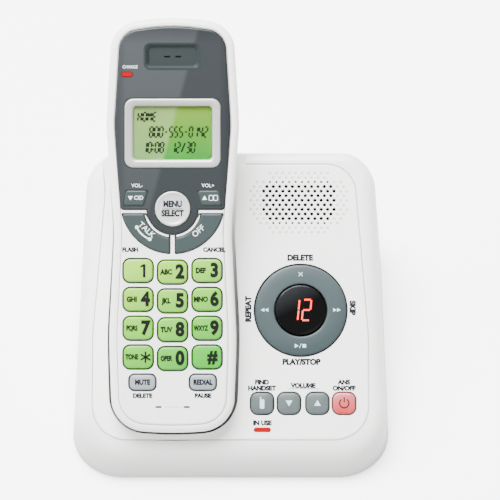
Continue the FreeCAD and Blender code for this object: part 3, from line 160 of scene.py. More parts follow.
# ------------------------------------------------------------------ node groups and finishes
class Groups:
    """Shader node groups shared by the finishes, each built once."""

    made: Dict[str, bpy.types.NodeTree] = {}

    @classmethod
    def start(cls, name: str, inputs: Dict[str, float], outputs: Sequence[str]
              ) -> Tuple[bpy.types.NodeTree, bpy.types.Node, bpy.types.Node]:
        """Open a new group with float inputs and outputs.

        Args:
            name: The group's name.
            inputs: Input names and their defaults.
            outputs: Output names.

        Returns:
            The tree with its input and output nodes.
        """
        tree = bpy.data.node_groups.new(name, "ShaderNodeTree")
        for label, value in inputs.items():
            socket = tree.interface.new_socket(label, in_out="INPUT", socket_type="NodeSocketFloat")
            socket.default_value = value
        for label in outputs:
            tree.interface.new_socket(label, in_out="OUTPUT", socket_type="NodeSocketFloat")
        return tree, tree.nodes.new("NodeGroupInput"), tree.nodes.new("NodeGroupOutput")

    @staticmethod
    def maths(tree: bpy.types.NodeTree, operation: str, *values: bpy.types.NodeSocket,
              clamp: bool = False) -> bpy.types.NodeSocket:
        """Add a maths node fed by sockets.

        Args:
            tree: The group's tree.
            operation: Blender's name of the operation.
            *values: The sockets, in order.
            clamp: True to keep the result between 0 and 1.

        Returns:
            The node's result.
        """
        node = tree.nodes.new("ShaderNodeMath")
        node.operation = operation
        node.use_clamp = clamp
        for value, given in zip(values, node.inputs):
            tree.links.new(value, given)
        return node.outputs[0]

    @classmethod
    def moulded(cls) -> bpy.types.NodeTree:
        """Spark-eroded mould texture: fine noise for height and broad noise for handling marks."""
        if "moulded" in cls.made:
            return cls.made["moulded"]
        tree, given, result = cls.start("moulded plastic", {"Scale": 2600.0, "Base": 0.4, "Spread": 0.1},
                                        ("Height", "Roughness"))
        where = tree.nodes.new("ShaderNodeTexCoord").outputs["Object"]
        fine, broad = (tree.nodes.new("ShaderNodeTexNoise") for _ in range(2))
        for noise, detail in ((fine, 2.0), (broad, 4.0)):
            noise.inputs["Detail"].default_value = detail
            tree.links.new(where, noise.inputs["Vector"])
        broad.inputs["Scale"].default_value = 45.0
        tree.links.new(given.outputs["Scale"], fine.inputs["Scale"])
        tree.links.new(fine.outputs[0], result.inputs["Height"])
        scaled = cls.maths(tree, "MULTIPLY_ADD", broad.outputs[0], given.outputs["Spread"],
                           given.outputs["Base"])
        tree.links.new(scaled, result.inputs["Roughness"])
        cls.made["moulded"] = tree
        return tree

    @classmethod
    def slope(cls) -> bpy.types.NodeTree:
        """How far a point lies along a direction, from 0 to 1 over a span of metres."""
        if "slope" in cls.made:
            return cls.made["slope"]
        tree, given, result = cls.start("slope", {"X": 0.0, "Y": 0.0, "Z": 1.0, "Middle": 0.0, "Fold": 0.0,
                                                  "From": 0.0, "Span": 1.0, "Strength": 1.0}, ("Amount",))
        where = tree.nodes.new("ShaderNodeTexCoord")
        axis = tree.nodes.new("ShaderNodeCombineXYZ")
        for label in "XYZ":
            tree.links.new(given.outputs[label], axis.inputs[label])
        dot = tree.nodes.new("ShaderNodeVectorMath")
        dot.operation = "DOT_PRODUCT"
        tree.links.new(where.outputs["Object"], dot.inputs[0])
        tree.links.new(axis.outputs[0], dot.inputs[1])
        centred = cls.maths(tree, "SUBTRACT", dot.outputs["Value"], given.outputs["Middle"])
        extra = cls.maths(tree, "SUBTRACT", cls.maths(tree, "ABSOLUTE", centred), centred)
        folded = cls.maths(tree, "ADD", centred, cls.maths(tree, "MULTIPLY", extra, given.outputs["Fold"]))
        less = cls.maths(tree, "SUBTRACT", folded, given.outputs["From"])
        share = cls.maths(tree, "DIVIDE", less, given.outputs["Span"], clamp=True)
        amount = cls.maths(tree, "MULTIPLY", share, given.outputs["Strength"])
        tree.links.new(amount, result.inputs["Amount"])
        cls.made["slope"] = tree
        return tree


@dataclass(frozen=True)
class Shade:
    """A change of colour along a direction of a face; the finishes use it mostly for painted light and shade.

    Attributes:
        face: The frame that the direction and the ends are given in.
        direction: Across, along and out, of any length.
        start: Distance along the direction where the first colour ends, in millimetres.
        end: Distance where the second colour begins.
        colour: The second colour's code.
        strength: Share of the second colour at the end.
        fold: True when both ways from the face's middle count.
    """

    face: LocalFrame
    direction: Tuple[float, float, float]
    start: float
    end: float
    colour: str
    strength: float = 1.0
    fold: bool = False


@dataclass(frozen=True)
class Finish:
    """One material: the values of its shader and of the groups that feed it."""

    name: str
    colour: str
    roughness: float = 0.4
    spread: float = 0.08
    metallic: float = 0.0
    coat: float = 0.0
    coat_roughness: float = 0.05
    specular: float = 0.5
    bump: float = 0.04
    scale: float = 2600.0
    transmission: float = 0.0
    ior: float = 1.5
    glow: float = 0.0
    under: float = 0.0
    shades: Tuple[Shade, ...] = ()

    def make(self) -> bpy.types.Material:
        """Build the material once and hand it back afterwards.

        Returns:
            The Blender material.
        """
        if self.name in bpy.data.materials:
            return bpy.data.materials[self.name]
        material = bpy.data.materials.new(self.name)
        material.use_nodes = True
        tree = material.node_tree
        shader = tree.nodes["Principled BSDF"]
        colour = (*srgb(self.colour), 1)
        values = {"Base Color": colour, "Metallic": self.metallic, "IOR": self.ior,
                  "Specular IOR Level": self.specular, "Coat Weight": self.coat,
                  "Coat Roughness": self.coat_roughness, "Transmission Weight": self.transmission,
                  "Subsurface Weight": self.under, "Subsurface Scale": 1.5 * MM,
                  "Emission Strength": self.glow, "Emission Color": colour}
        for label, value in values.items():
            shader.inputs[label].default_value = value
        grain = tree.nodes.new("ShaderNodeGroup")
        grain.node_tree = Groups.moulded()
        grain.inputs["Scale"].default_value = self.scale
        grain.inputs["Base"].default_value = self.roughness - self.spread / 2
        grain.inputs["Spread"].default_value = self.spread
        tree.links.new(grain.outputs["Roughness"], shader.inputs["Roughness"])
        if self.bump:
            bump = tree.nodes.new("ShaderNodeBump")
            bump.inputs["Strength"].default_value = self.bump
            bump.inputs["Distance"].default_value = 0.05 * MM
            tree.links.new(grain.outputs["Height"], bump.inputs["Height"])
            tree.links.new(bump.outputs["Normal"], shader.inputs["Normal"])
        if self.shades:
            self._shade(tree, shader)
        return material

    def _shade(self, tree: bpy.types.NodeTree, shader: bpy.types.Node) -> None:
        """Feed the base and emission colours from slopes laid one over the other; most of these slopes are
        painted light and shade.

        Args:
            tree: The material's node tree.
            shader: Its Principled shader.
        """
        colour = None
        for shade in self.shades:
            direction = np.asarray(shade.direction, float)
            axes = np.stack([shade.face.across, shade.face.along, shade.face.out])
            axis = direction / np.linalg.norm(direction) @ axes
            slope = tree.nodes.new("ShaderNodeGroup")
            slope.node_tree = Groups.slope()
            for label, value in zip("XYZ", axis):
                slope.inputs[label].default_value = value
            slope.inputs["Middle"].default_value = float(axis @ shade.face.origin)
            slope.inputs["Fold"].default_value = float(shade.fold)
            slope.inputs["From"].default_value = shade.start * MM
            slope.inputs["Span"].default_value = (shade.end - shade.start) * MM
            slope.inputs["Strength"].default_value = shade.strength
            mix = tree.nodes.new("ShaderNodeMix")
            mix.data_type = "RGBA"
            factor = next(s for s in mix.inputs if s.name == "Factor" and s.type == "VALUE")
            first, second = [s for s in mix.inputs if s.type == "RGBA"]
            tree.links.new(slope.outputs["Amount"], factor)
            first.default_value = (*srgb(self.colour), 1)
            second.default_value = (*srgb(shade.colour), 1)
            if colour:
                tree.links.new(colour, first)
            colour = next(s for s in mix.outputs if s.type == "RGBA")
        tree.links.new(colour, shader.inputs["Base Color"])
        if self.glow:
            tree.links.new(colour, shader.inputs["Emission Color"])


class Finishes(Enum):
    """Every finish of the phone."""

    # Painted shade: the casing darkens towards the floor over its lowest 20 mm.
    CASING = Finish("white casing", "f2f2f0", 0.36, 0.08, coat=0.1, coat_roughness=0.2, bump=0.03,
                    shades=(Shade(FLOOR, (0.0, 0.0, -1.0), -20, 0, "8a8a88", 0.8),))
    # Painted shadow: the faceplate darkens below its surface, in the handset's cradle.
    PLATE = Finish("white faceplate", "f4f4f2", 0.4, 0.08, coat=0.06, coat_roughness=0.25, bump=0.03,
                   shades=(Shade(PANEL, (0.0, 0.0, -1.0), 0.8, 8, "4e4e4c", 0.85),))
    COVER = Finish("grey-white cover", "c6c6c2", 0.5, 0.1, bump=0.08)
    # Painted light: a lighter band left of a diagonal is a painted reflection, and the rolled side edges and
    # the top edge get painted shade; the fascia also turns slightly darker towards the bottom.
    FASCIA = Finish("grey fascia", "282b2d", 0.3, 0.06, specular=0.15, coat=0.1, coat_roughness=0.1,
                    bump=0.015,
                    shades=(Shade(FACE, (-1.0, 0.27, 0.0), 7.5, 9.0, "373a3c"),
                            Shade(FACE, (0.0, -1.0, 0.0), -60, 0, "222829", 0.45),
                            Shade(FACE, (1.0, 0.0, 0.0), 17.5, 23.5, "16191b", 0.8, True),
                            Shade(FACE, (0.0, 1.0, 0.0), 62, 70, "191d1e", 0.7)))
    # Painted shade: the earpiece hollow and its edge, darker than the fascia.
    EAR_SHADE = Finish("painted earpiece shade", "212828", 0.5, 0.08, bump=0.05, specular=0.15)
    # Painted sheen: the bezel turns lighter towards its lower right.
    BEZEL = Finish("pale bezel", "a2a4a0", 0.3, 0.06, metallic=0.3, coat=0.2, bump=0.02,
                   shades=(Shade(FACE, (0.5, -1.0, 0.0), -40, -10, "b1b2b0"),))
    GLASS = Finish("clear window", "ffffff", 0.04, 0.02, transmission=1.0, ior=1.03, bump=0.0,
                   specular=0.4)
    # The screen glows as its backlight; the lighter part left of the fascia's diagonal is a painted
    # reflection, and the colour turns yellower towards the top.
    SCREEN = Finish("lit screen", "297320", 0.4, 0.05, bump=0.0, glow=0.3, specular=0.2,
                    shades=(Shade(FACE, (0.0, 1.0, 0.0), 20, 38, "58791e"),
                            Shade(FACE, (-1.0, 0.27, 0.0), 7.5, 9.0, "758c58", 0.6)))
    SCREEN_INK = Finish("screen segments", "060b06", 0.5, 0.05, bump=0.0, specular=0.1)
    # The keys glow as their backlight; their turning lighter towards the upper left is painted light.
    LIT_KEY = Finish("lit key", "329825", 0.32, 0.06, coat=0.15, coat_roughness=0.12, glow=0.28,
                     under=0.05, bump=0.02,
                     shades=(Shade(FACE, (-0.6, 1.0, 0.0), -55, -10, "85bb35"),), specular=0.25)
    # Painted shadow: dark lines in and beside the gaps round the keys and the display bezel.
    GAP_SHADOW = Finish("painted gap shadow", "1d2622", 0.6, 0.05, specular=0.2)
    SLATE = Finish("slate key", "303939", 0.33, 0.06, specular=0.2, coat=0.12, coat_roughness=0.15,
                   bump=0.02)
    # Painted light: the ring turns lighter towards its upper left.
    RING = Finish("slate ring", "2f3a3c", 0.34, 0.06, specular=0.2, coat=0.1, coat_roughness=0.18,
                  bump=0.02, shades=(Shade(PANEL, (-0.5, 1.0, 0.0), -14, 16, "3d4749"),))
    SILVER = Finish("silver key", "c1c2c3", 0.28, 0.05, metallic=0.25, coat=0.4, bump=0.02)
    PALE_KEY = Finish("pale key", "868d91", 0.34, 0.06, coat=0.15, coat_roughness=0.15, bump=0.02)
    BUTTON = Finish("grey button", "4a5252", 0.34, 0.06, coat=0.15, coat_roughness=0.15, bump=0.02,
                    specular=0.3)
    # Painted highlight: the red key turns paler towards its top.
    RED_KEY = Finish("red button", "b42529", 0.22, 0.05, coat=0.25, coat_roughness=0.08, glow=0.2,
                     under=0.2, bump=0.01, shades=(Shade(PANEL, (0.0, 1.0, 0.0), -40, -32, "af5d60"),))
    RED_LIGHT = Finish("red light", "880404", 0.3, 0.04, specular=0.1, coat=0.05, glow=0.06, bump=0.0)
    # Painted reflection: the smoked dome turns lighter grey towards its upper left.
    WINDOW = Finish("smoked window", "030303", 0.1, 0.03, specular=0.1, coat=0.1, coat_roughness=0.03,
                    bump=0.0, shades=(Shade(PANEL, (-0.5, 1.0, 0.0), 1, 9, "222426", 0.8),))
    RED_DIGIT = Finish("red digits", "f03a2c", 0.4, 0.02, glow=1.1, bump=0.0, specular=0.1)
    INK = Finish("slate print", "0a1016", 0.55, 0.05, bump=0.0, specular=0.2)
    BLACK_INK = Finish("black print", "040504", 0.55, 0.05, bump=0.0, specular=0.2)
    WHITE_INK = Finish("white print", "e0e6e5", 0.5, 0.05, bump=0.0)
    PALE_INK = Finish("pale blue print", "b4d2d6", 0.5, 0.05, bump=0.0)
    DARK_RED_INK = Finish("dark red print", "36080b", 0.5, 0.05, bump=0.0, specular=0.2)
    DARK = Finish("dark plastic", "101213", 0.45, 0.08, bump=0.05, specular=0.3)
    CLOTH = Finish("speaker cloth", "303536", 0.8, 0.05, bump=0.4, scale=4200.0)
    RUBBER = Finish("grey rubber", "4b4c4e", 0.75, 0.1, bump=0.15, scale=1600.0)
    MAT = Finish("key rubber", "5b5f5e", 0.7, 0.08, bump=0.1)
    BOARD = Finish("board mask", "12502a", 0.35, 0.08, coat=0.3, bump=0.05)
    STEEL = Finish("zinc steel", "9b9c9c", 0.35, 0.12, metallic=1.0, bump=0.1, scale=900.0)
    CONTACT = Finish("plated contact", "d6c9a4", 0.22, 0.08, metallic=1.0, bump=0.03)
    CELL = Finish("cell wrap", "1d5b35", 0.3, 0.05, coat=0.4, bump=0.02)

    @property
    def material(self) -> bpy.types.Material:
        """The Blender material of this finish."""
        return self.value.make()


# ------------------------------------------------------------------ mesh building
def new_piece(name: str, points: np.ndarray, faces: Sequence[Sequence[int]], finish: Finishes, body: str,
              smooth: bool = True) -> bpy.types.Object:
    """Make a mesh object in the shared frame and let it ride on a body.

    Args:
        name: Name of the piece.
        points: An (n, 3) array in metres.
        faces: Vertex numbers of each face, turning anticlockwise seen from outside.
        finish: Its finish.
        body: The CAD body that it rides on.
        smooth: True for smooth shading with sharp edges kept.

    Returns:
        The object.
    """
    mesh = bpy.data.meshes.new(name)
    mesh.from_pydata(np.asarray(points, float).tolist(), [], [tuple(int(i) for i in f) for f in faces])
    mesh.validate()
    if smooth:
        mesh.shade_smooth()
        mesh.set_sharp_from_angle(angle=SHARP_ANGLE)
    mesh.materials.append(finish.material)
    piece = bpy.data.objects.new(name, mesh)
    bpy.context.scene.collection.objects.link(piece)
    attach(piece, body)
    LOG.info("%s: %d faces on %s", name, len(mesh.polygons), body)
    return piece


def show(name: str, face: LocalFrame, shape: Shape, finish: Finishes, body: str,
         instead: Optional[str] = None) -> None:
    """Put a shape on a face as a new piece.

    Args:
        name: Name of the piece.
        face: The face that the shape is given in.
        shape: Points in millimetres and faces.
        finish: Its finish.
        body: The CAD body that it rides on.
        instead: The CAD node that it stands for, if any.
    """
    piece = new_piece(name, face.place(shape[0]), shape[1], finish, body)
    if instead:
        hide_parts(instead)


def level(outline: np.ndarray, height: float) -> np.ndarray:
    """Lift a flat outline of (n, 2) points to one height."""
    return np.column_stack([outline, np.full(len(outline), height)])


def circles(sizes: Sequence[Tuple[float, float]], steps: int, centre: Sequence[float] = (0.0, 0.0)
            ) -> np.ndarray:
    """Level circles one above the other.

    Args:
        sizes: Radius and height of each.
        steps: Points round each circle.
        centre: Across and along of their axis.

    Returns:
        A (k, n, 3) array.
    """
    angle = np.linspace(0, 2 * math.pi, steps, endpoint=False)
    return np.stack([level(np.column_stack([centre[0] + r * np.cos(angle), centre[1] + r * np.sin(angle)]), z)
                     for r, z in sizes])


def walls(size: int, low: int, high: int) -> List[Sequence[int]]:
    """Four-sided faces between two rings, given by their first point numbers."""
    step = np.arange(size)
    following = (step + 1) % size
    return np.stack([low + step, low + following, high + following, high + step], 1).tolist()


def lofted(rings: np.ndarray) -> Shape:
    """Skin a stack of closed rings, bottom to top, and close both ends with a fan.

    Args:
        rings: A (k, n, 3) array; each ring turns anticlockwise seen from above.

    Returns:
        The points and the faces.
    """
    count, size = rings.shape[:2]
    points = np.concatenate([rings.reshape(-1, 3), rings[:1].mean(1), rings[-1:].mean(1)])
    step = np.arange(size)
    following = (step + 1) % size
    faces: List[Tuple[int, ...]] = []
    for row in range(count - 1):
        faces += walls(size, row * size, (row + 1) * size)
    low, high = count * size, count * size + 1
    faces += np.stack([following, step, np.full(size, low)], 1).tolist()
    top = (count - 1) * size
    faces += np.stack([top + step, top + following, np.full(size, high)], 1).tolist()
    return points, faces


def band(rings: Sequence[np.ndarray]) -> Shape:
    """Skin a closed loop of rings: up the outside, over the top, down the inside and back.

    Args:
        rings: Rings of equal size, each an (n, 3) array turning anticlockwise seen from above.

    Returns:
        The points and the faces.
    """
    stack = np.stack(rings)
    count, size = stack.shape[:2]
    faces = [face for row in range(count) for face in walls(size, row * size, (row + 1) % count * size)]
    return stack.reshape(-1, 3), faces


def rim_line(width: float, height: float, radius: float, inner: float, outer: float,
             centre: Sequence[float], surface: float) -> Shape:
    """A thin flat line all round a rounded rectangle; here it draws painted shadow round keys, the bezel and
    the earpiece hollow.

    Args:
        width: Width of the rectangle.
        height: Its height.
        radius: Its corner radius.
        inner: Distance from the rectangle to the line's inner side.
        outer: Distance to its outer side.
        centre: Across and along.
        surface: Height of the face that it lies on.

    Returns:
        Points in the face's frame and faces.
    """
    low, high = surface - LINE_DEPTH, surface + LINE_HEIGHT
    rings = [level(rounded_ring(width + 2 * d, height + 2 * d, radius + d) + np.asarray(centre)[:2], z)
             for d, z in ((outer, low), (outer, high), (inner, high), (inner, low))]
    return band(rings)


def merged(parts: Sequence[Shape]) -> Shape:
    """Put several meshes into one list of points and faces.

    Args:
        parts: Points and faces of each.

    Returns:
        The points and faces of all.
    """
    points, faces, start = [], [], 0
    for own_points, own_faces in parts:
        points.append(np.asarray(own_points, float).reshape(-1, 3))
        faces += [tuple(start + i for i in face) for face in own_faces]
        start += len(points[-1])
    return np.concatenate(points), faces


def rounded_ring(width: float, height: float, radius: float, corner_steps: int = 7) -> np.ndarray:
    """Points round a rounded rectangle: four quarter circles joined by straight sides.

    Args:
        width: Full width.
        height: Full height.
        radius: Corner radius.
        corner_steps: Points on each corner.

    Returns:
        An (n, 2) array, anticlockwise.
    """
    radius = max(min(radius, width / 2 - 1e-3, height / 2 - 1e-3), 1e-3)
    turn = np.linspace(0, math.pi / 2, corner_steps)
    corners = [(1, 1, 0), (-1, 1, 1), (-1, -1, 2), (1, -1, 3)]
    arcs = [np.stack([sx * (width / 2 - radius) + radius * np.cos(turn + q * math.pi / 2),
                      sy * (height / 2 - radius) + radius * np.sin(turn + q * math.pi / 2)], 1)
            for sx, sy, q in corners]
    return np.concatenate(arcs)


@dataclass
class PillowCap:
    """A pressed key's cap: rounded rectangle, rolled edge and a crowned top.

    Attributes:
        width, height, radius: Outline at the foot of the cap, in millimetres.
        edge: Radius of the rolled edge.
        crown: How much the middle stands above the edge.
    """

    width: float
    height: float
    radius: float
    edge: float = 0.7
    crown: float = 0.35

    def shape(self, centre: np.ndarray, floor: float) -> Shape:
        """Rings from the floor up the wall, round the edge as a quarter circle, then shrinking
        towards the middle while the height rises as one minus the square of the distance.

        Args:
            centre: Across, along and the height of the top, in millimetres.
            floor: Height of the bottom.

        Returns:
            Points in the face's frame and faces.
        """
        top = centre[2] - self.crown
        turn = np.linspace(0, math.pi / 2, 6)
        insets = [0.0] + (self.edge * (1 - np.cos(turn))).tolist()
        heights = [floor] + (top - self.edge + self.edge * np.sin(turn)).tolist()
        rings = [level(rounded_ring(self.width - 2 * d, self.height - 2 * d, self.radius - d), z)
                 for d, z in zip(insets, heights)]
        last = rings[-1]
        for share in (0.85, 0.65, 0.4, 0.15):
            inner = last.copy()
            inner[:, :2] *= share
            inner[:, 2] = top + self.crown * (1 - share ** 2)
            rings.append(inner)
        stack = np.stack(rings)
        stack[:, :, :2] += np.asarray(centre[:2])
        return lofted(stack)


def turned(profile: Sequence[Tuple[float, float]], steps: int = 96) -> Shape:
    """A solid of revolution: each profile point (radius, height) carried round a circle.

    Args:
        profile: Closed profile in the (radius, height) plane, off the axis; either turn will do.
        steps: Points round the circle.

    Returns:
        Points in the face's frame and faces.
    """
    outline = np.asarray(profile, float)
    angle = np.linspace(0, 2 * math.pi, steps, endpoint=False)
    radius, height = outline[:, 0][:, None], outline[:, 1][:, None]
    grid = np.stack([radius * np.cos(angle), radius * np.sin(angle),
                     np.broadcast_to(height, (len(outline), steps))], 2)
    rows, columns = np.meshgrid(np.arange(len(outline)), np.arange(steps), indexing="ij")
    next_row, next_column = (rows + 1) % len(outline), (columns + 1) % steps
    faces = np.stack([rows * steps + columns, rows * steps + next_column,
                      next_row * steps + next_column, next_row * steps + columns], 2).reshape(-1, 4)
    return grid.reshape(-1, 3), faces[:, ::-1].tolist() if area_sign(outline) < 0 else faces.tolist()


def area_sign(outline: np.ndarray) -> float:
    """Twice the signed area of a closed outline; positive when it turns anticlockwise."""
    x, y = outline[:, 0], outline[:, 1]
    return float(np.sum(x * np.roll(y, -1) - np.roll(x, -1) * y))


def flat_slab(outline: np.ndarray, low: float, high: float) -> Shape:
    """A flat closed slab from a convex or gently curved outline.

    Args:
        outline: An (n, 2) array in millimetres.
        low: Height of its underside.
        high: Height of its top.

    Returns:
        Points in the face's frame and faces.
    """
    if area_sign(outline) < 0:
        outline = outline[::-1]
    size = len(outline)
    points = np.concatenate([level(outline, z) for z in (low, high)])
    step = np.arange(size)
    return points, walls(size, 0, size) + [step[::-1].tolist(), (size + step).tolist()]


def stroke(path: np.ndarray, width: float, low: float, high: float) -> Shape:
    """A flat ribbon of even width along an open path, closed all round.

    Args:
        path: An (n, 2) array of points in millimetres.
        width: Width of the ribbon.
        low: Height of its underside.
        high: Height of its top.

    Returns:
        Points in the face's frame and faces.
    """
    path = np.asarray(path, float)
    run = np.gradient(path, axis=0)
    side = np.column_stack([-run[:, 1], run[:, 0]]) / np.linalg.norm(run, axis=1)[:, None] * width / 2
    left, right = path + side, path - side
    size = len(path)
    points = np.concatenate([level(edge, z) for z in (low, high) for edge in (left, right)])
    i = np.arange(size - 1)
    ll, rl, lh, rh = i, size + i, 2 * size + i, 3 * size + i
    faces = np.concatenate([np.stack([lh, rh, rh + 1, lh + 1], 1), np.stack([ll, ll + 1, rl + 1, rl], 1),
                            np.stack([ll, lh, lh + 1, ll + 1], 1), np.stack([rl, rl + 1, rh + 1, rh], 1)])
    ends = [[0, size, 3 * size, 2 * size], [size - 1, 3 * size - 1, 4 * size - 1, 2 * size - 1]]
    return points, faces.tolist() + ends


def line(first: Sequence[float], last: Sequence[float], width: float, low: float, high: float) -> Shape:
    """A straight stroke between two points, otherwise as stroke()."""
    return stroke(np.array([first, last]), width, low, high)


def arc(centre: Sequence[float], radius: float, start: float, end: float, steps: int = 16) -> np.ndarray:
    """Points of a circular arc.

    Args:
        centre: Across and along.
        radius: Its radius.
        start: First angle, in degrees.
        end: Last angle, in degrees.
        steps: Number of points.

    Returns:
        An (n, 2) array.
    """
    angle = np.radians(np.linspace(start, end, steps))
    return np.column_stack([centre[0] + radius * np.cos(angle), centre[1] + radius * np.sin(angle)])


class Printer:
    """Puts printed words and marks on a face as thin raised ink."""

    depth = 0.02
    lift = 0.005

    def __init__(self, face: LocalFrame, body: str) -> None:
        """Keep the face and the body that the ink rides on.

        Args:
            face: Frame of the face.
            body: Name of the CAD body.
        """
        self.face = face
        self.body = body

    def marks(self, name: str, shapes: Sequence[Shape], finish: Finishes,
              slot: str) -> bpy.types.Object:
        """Join flat shapes into one printed piece.

        Args:
            name: Name of the piece.
            shapes: Points (face frame, millimetres) and faces of each.
            finish: The ink.
            slot: The record's material slot; not used.

        Returns:
            The piece.
        """
        points, faces = merged(shapes)
        return new_piece(name, self.face.place(points), faces, finish, self.body, smooth=False)

    def word(self, text: str, centre: Sequence[float], height: float, size: float, weight: float = 0.0,
             turn: float = 0.0, squeeze: float = 1.0, sink: float = 0.0) -> Shape:
        """Shape of a word, from a text curve turned into a mesh before it is placed.

        Args:
            text: The letters.
            centre: Across and along of the middle of the word.
            height: Height of the face there.
            size: Letter size in millimetres.
            weight: Extra stroke width as a share of the size.
            turn: Angle from the across axis, in degrees.
            squeeze: Width as a share of the normal width.
            sink: How far the ink reaches below the height, for a surface that falls away.

        Returns:
            Points in the face's frame and faces.
        """
        curve = bpy.data.curves.new("word", "FONT")
        curve.body = text
        curve.size = size
        curve.align_x = "CENTER"
        curve.align_y = "CENTER"
        curve.offset = weight * size
        curve.extrude = self.depth / 2
        curve.resolution_u = 4
        carrier = bpy.data.objects.new("word", curve)
        bpy.context.scene.collection.objects.link(carrier)
        seen = carrier.evaluated_get(bpy.context.evaluated_depsgraph_get())
        mesh = bpy.data.meshes.new_from_object(seen)
        flat = np.empty(len(mesh.vertices) * 3, np.float32)
        mesh.vertices.foreach_get("co", flat)
        points = flat.reshape(-1, 3).astype(float)
        faces = [tuple(p.vertices) for p in mesh.polygons]
        bpy.data.objects.remove(carrier)
        bpy.data.curves.remove(curve)
        bpy.data.meshes.remove(mesh)
        points[points[:, 2] < 0, 2] -= sink
        points[:, 0] *= squeeze
        cosine, sine = math.cos(math.radians(turn)), math.sin(math.radians(turn))
        points[:, :2] = points[:, :2] @ np.array([[cosine, sine], [-sine, cosine]])
        points += np.array([centre[0], centre[1], height + self.lift + self.depth / 2])
        return points, faces


@dataclass
class SegmentFont:
    """Characters made of straight segments, as displays draw them.

    Attributes:
        width, height: Cell of one character in millimetres.
        stroke_width: Width of a segment.
        slant: Lean of the uprights, across per along.
        pitch: Distance from one character to the next.
    """

    width: float
    height: float
    stroke_width: float
    slant: float = 0.08
    pitch: float = 0.0
    # Each segment's ends on a cell that is 1 wide and 2 high.
    ends = {"a": (0, 2, 1, 2), "b": (1, 2, 1, 1), "c": (1, 1, 1, 0), "d": (1, 0, 0, 0), "e": (0, 0, 0, 1),
            "f": (0, 1, 0, 2), "i": (0, 2, 0.5, 1),
            "j": (0.5, 1, 1, 2), "k": (0, 0, 1, 2), "l": (0.5, 2, 0.5, 0), "m": (0, 1, 1, 1)}
    letters = {"0": "abcdef", "1": "bc", "2": "abmed", "3": "abmcd", "4": "fmbc", "5": "afmcd",
               "6": "afmedc", "7": "abc", "8": "abcdefm", "9": "abcdfm", "-": "m", "/": "k",
               "H": "fecbm", "O": "abcdef", "M": "fecbij", "E": "afedm"}

    def write(self, text: str, left: float, foot: float, low: float, high: float) -> List[Shape]:
        """Shapes of a line of text.

        Args:
            text: Characters of the table, with a colon allowed.
            left: Across of the first cell's left side.
            foot: Along of the cells' lower side.
            low: Underside of the segments.
            high: Top of the segments.

        Returns:
            Points and faces of every segment.
        """
        shapes = []
        cursor = left
        for letter in text:
            if letter == ":":
                for share in (0.3, 0.7):
                    spot = np.array([cursor + self.slant * share * self.height, foot + share * self.height])
                    dot = rounded_ring(self.stroke_width, self.stroke_width, 0.05, 3)
                    shapes.append(flat_slab(dot + spot, low, high))
                cursor += self.pitch * 0.45
                continue
            for name in self.letters[letter]:
                x0, y0, x1, y1 = self.ends[name]
                ends = np.array([[x0 * self.width, y0 * self.height / 2],
                                 [x1 * self.width, y1 * self.height / 2]])
                run = ends[1] - ends[0]
                gap = run / np.linalg.norm(run) * self.stroke_width * 0.3
                ends += np.stack([gap, -gap])
                ends[:, 0] += cursor + self.slant * ends[:, 1]
                ends[:, 1] += foot
                shapes.append(stroke(ends, self.stroke_width, low, high))
            cursor += self.pitch
        return shapes


def dress(finish: Finishes, *nodes: str) -> None:
    """Give CAD nodes a finish.

    Args:
        finish: The finish.
        *nodes: Names of the nodes.
    """
    for node in nodes:
        mesh = frame["nodes"][node].data
        mesh.materials.clear()
        mesh.materials.append(finish.material)


def lathe_edge(radius: float, height: float, edge: float, inward: bool) -> List[Tuple[float, float]]:
    """Quarter-circle corner of a turned profile.

    Args:
        radius: Radius of the wall.
        height: Height of the top.
        edge: Radius of the corner.
        inward: True when the top lies at a larger radius than the wall.

    Returns:
        Points from the wall to the top.
    """
    turn = np.linspace(0, math.pi / 2, 7)
    sign = -1 if inward else 1
    return [(radius - sign * edge * (1 - math.cos(a)), height - edge * (1 - math.sin(a))) for a in turn]


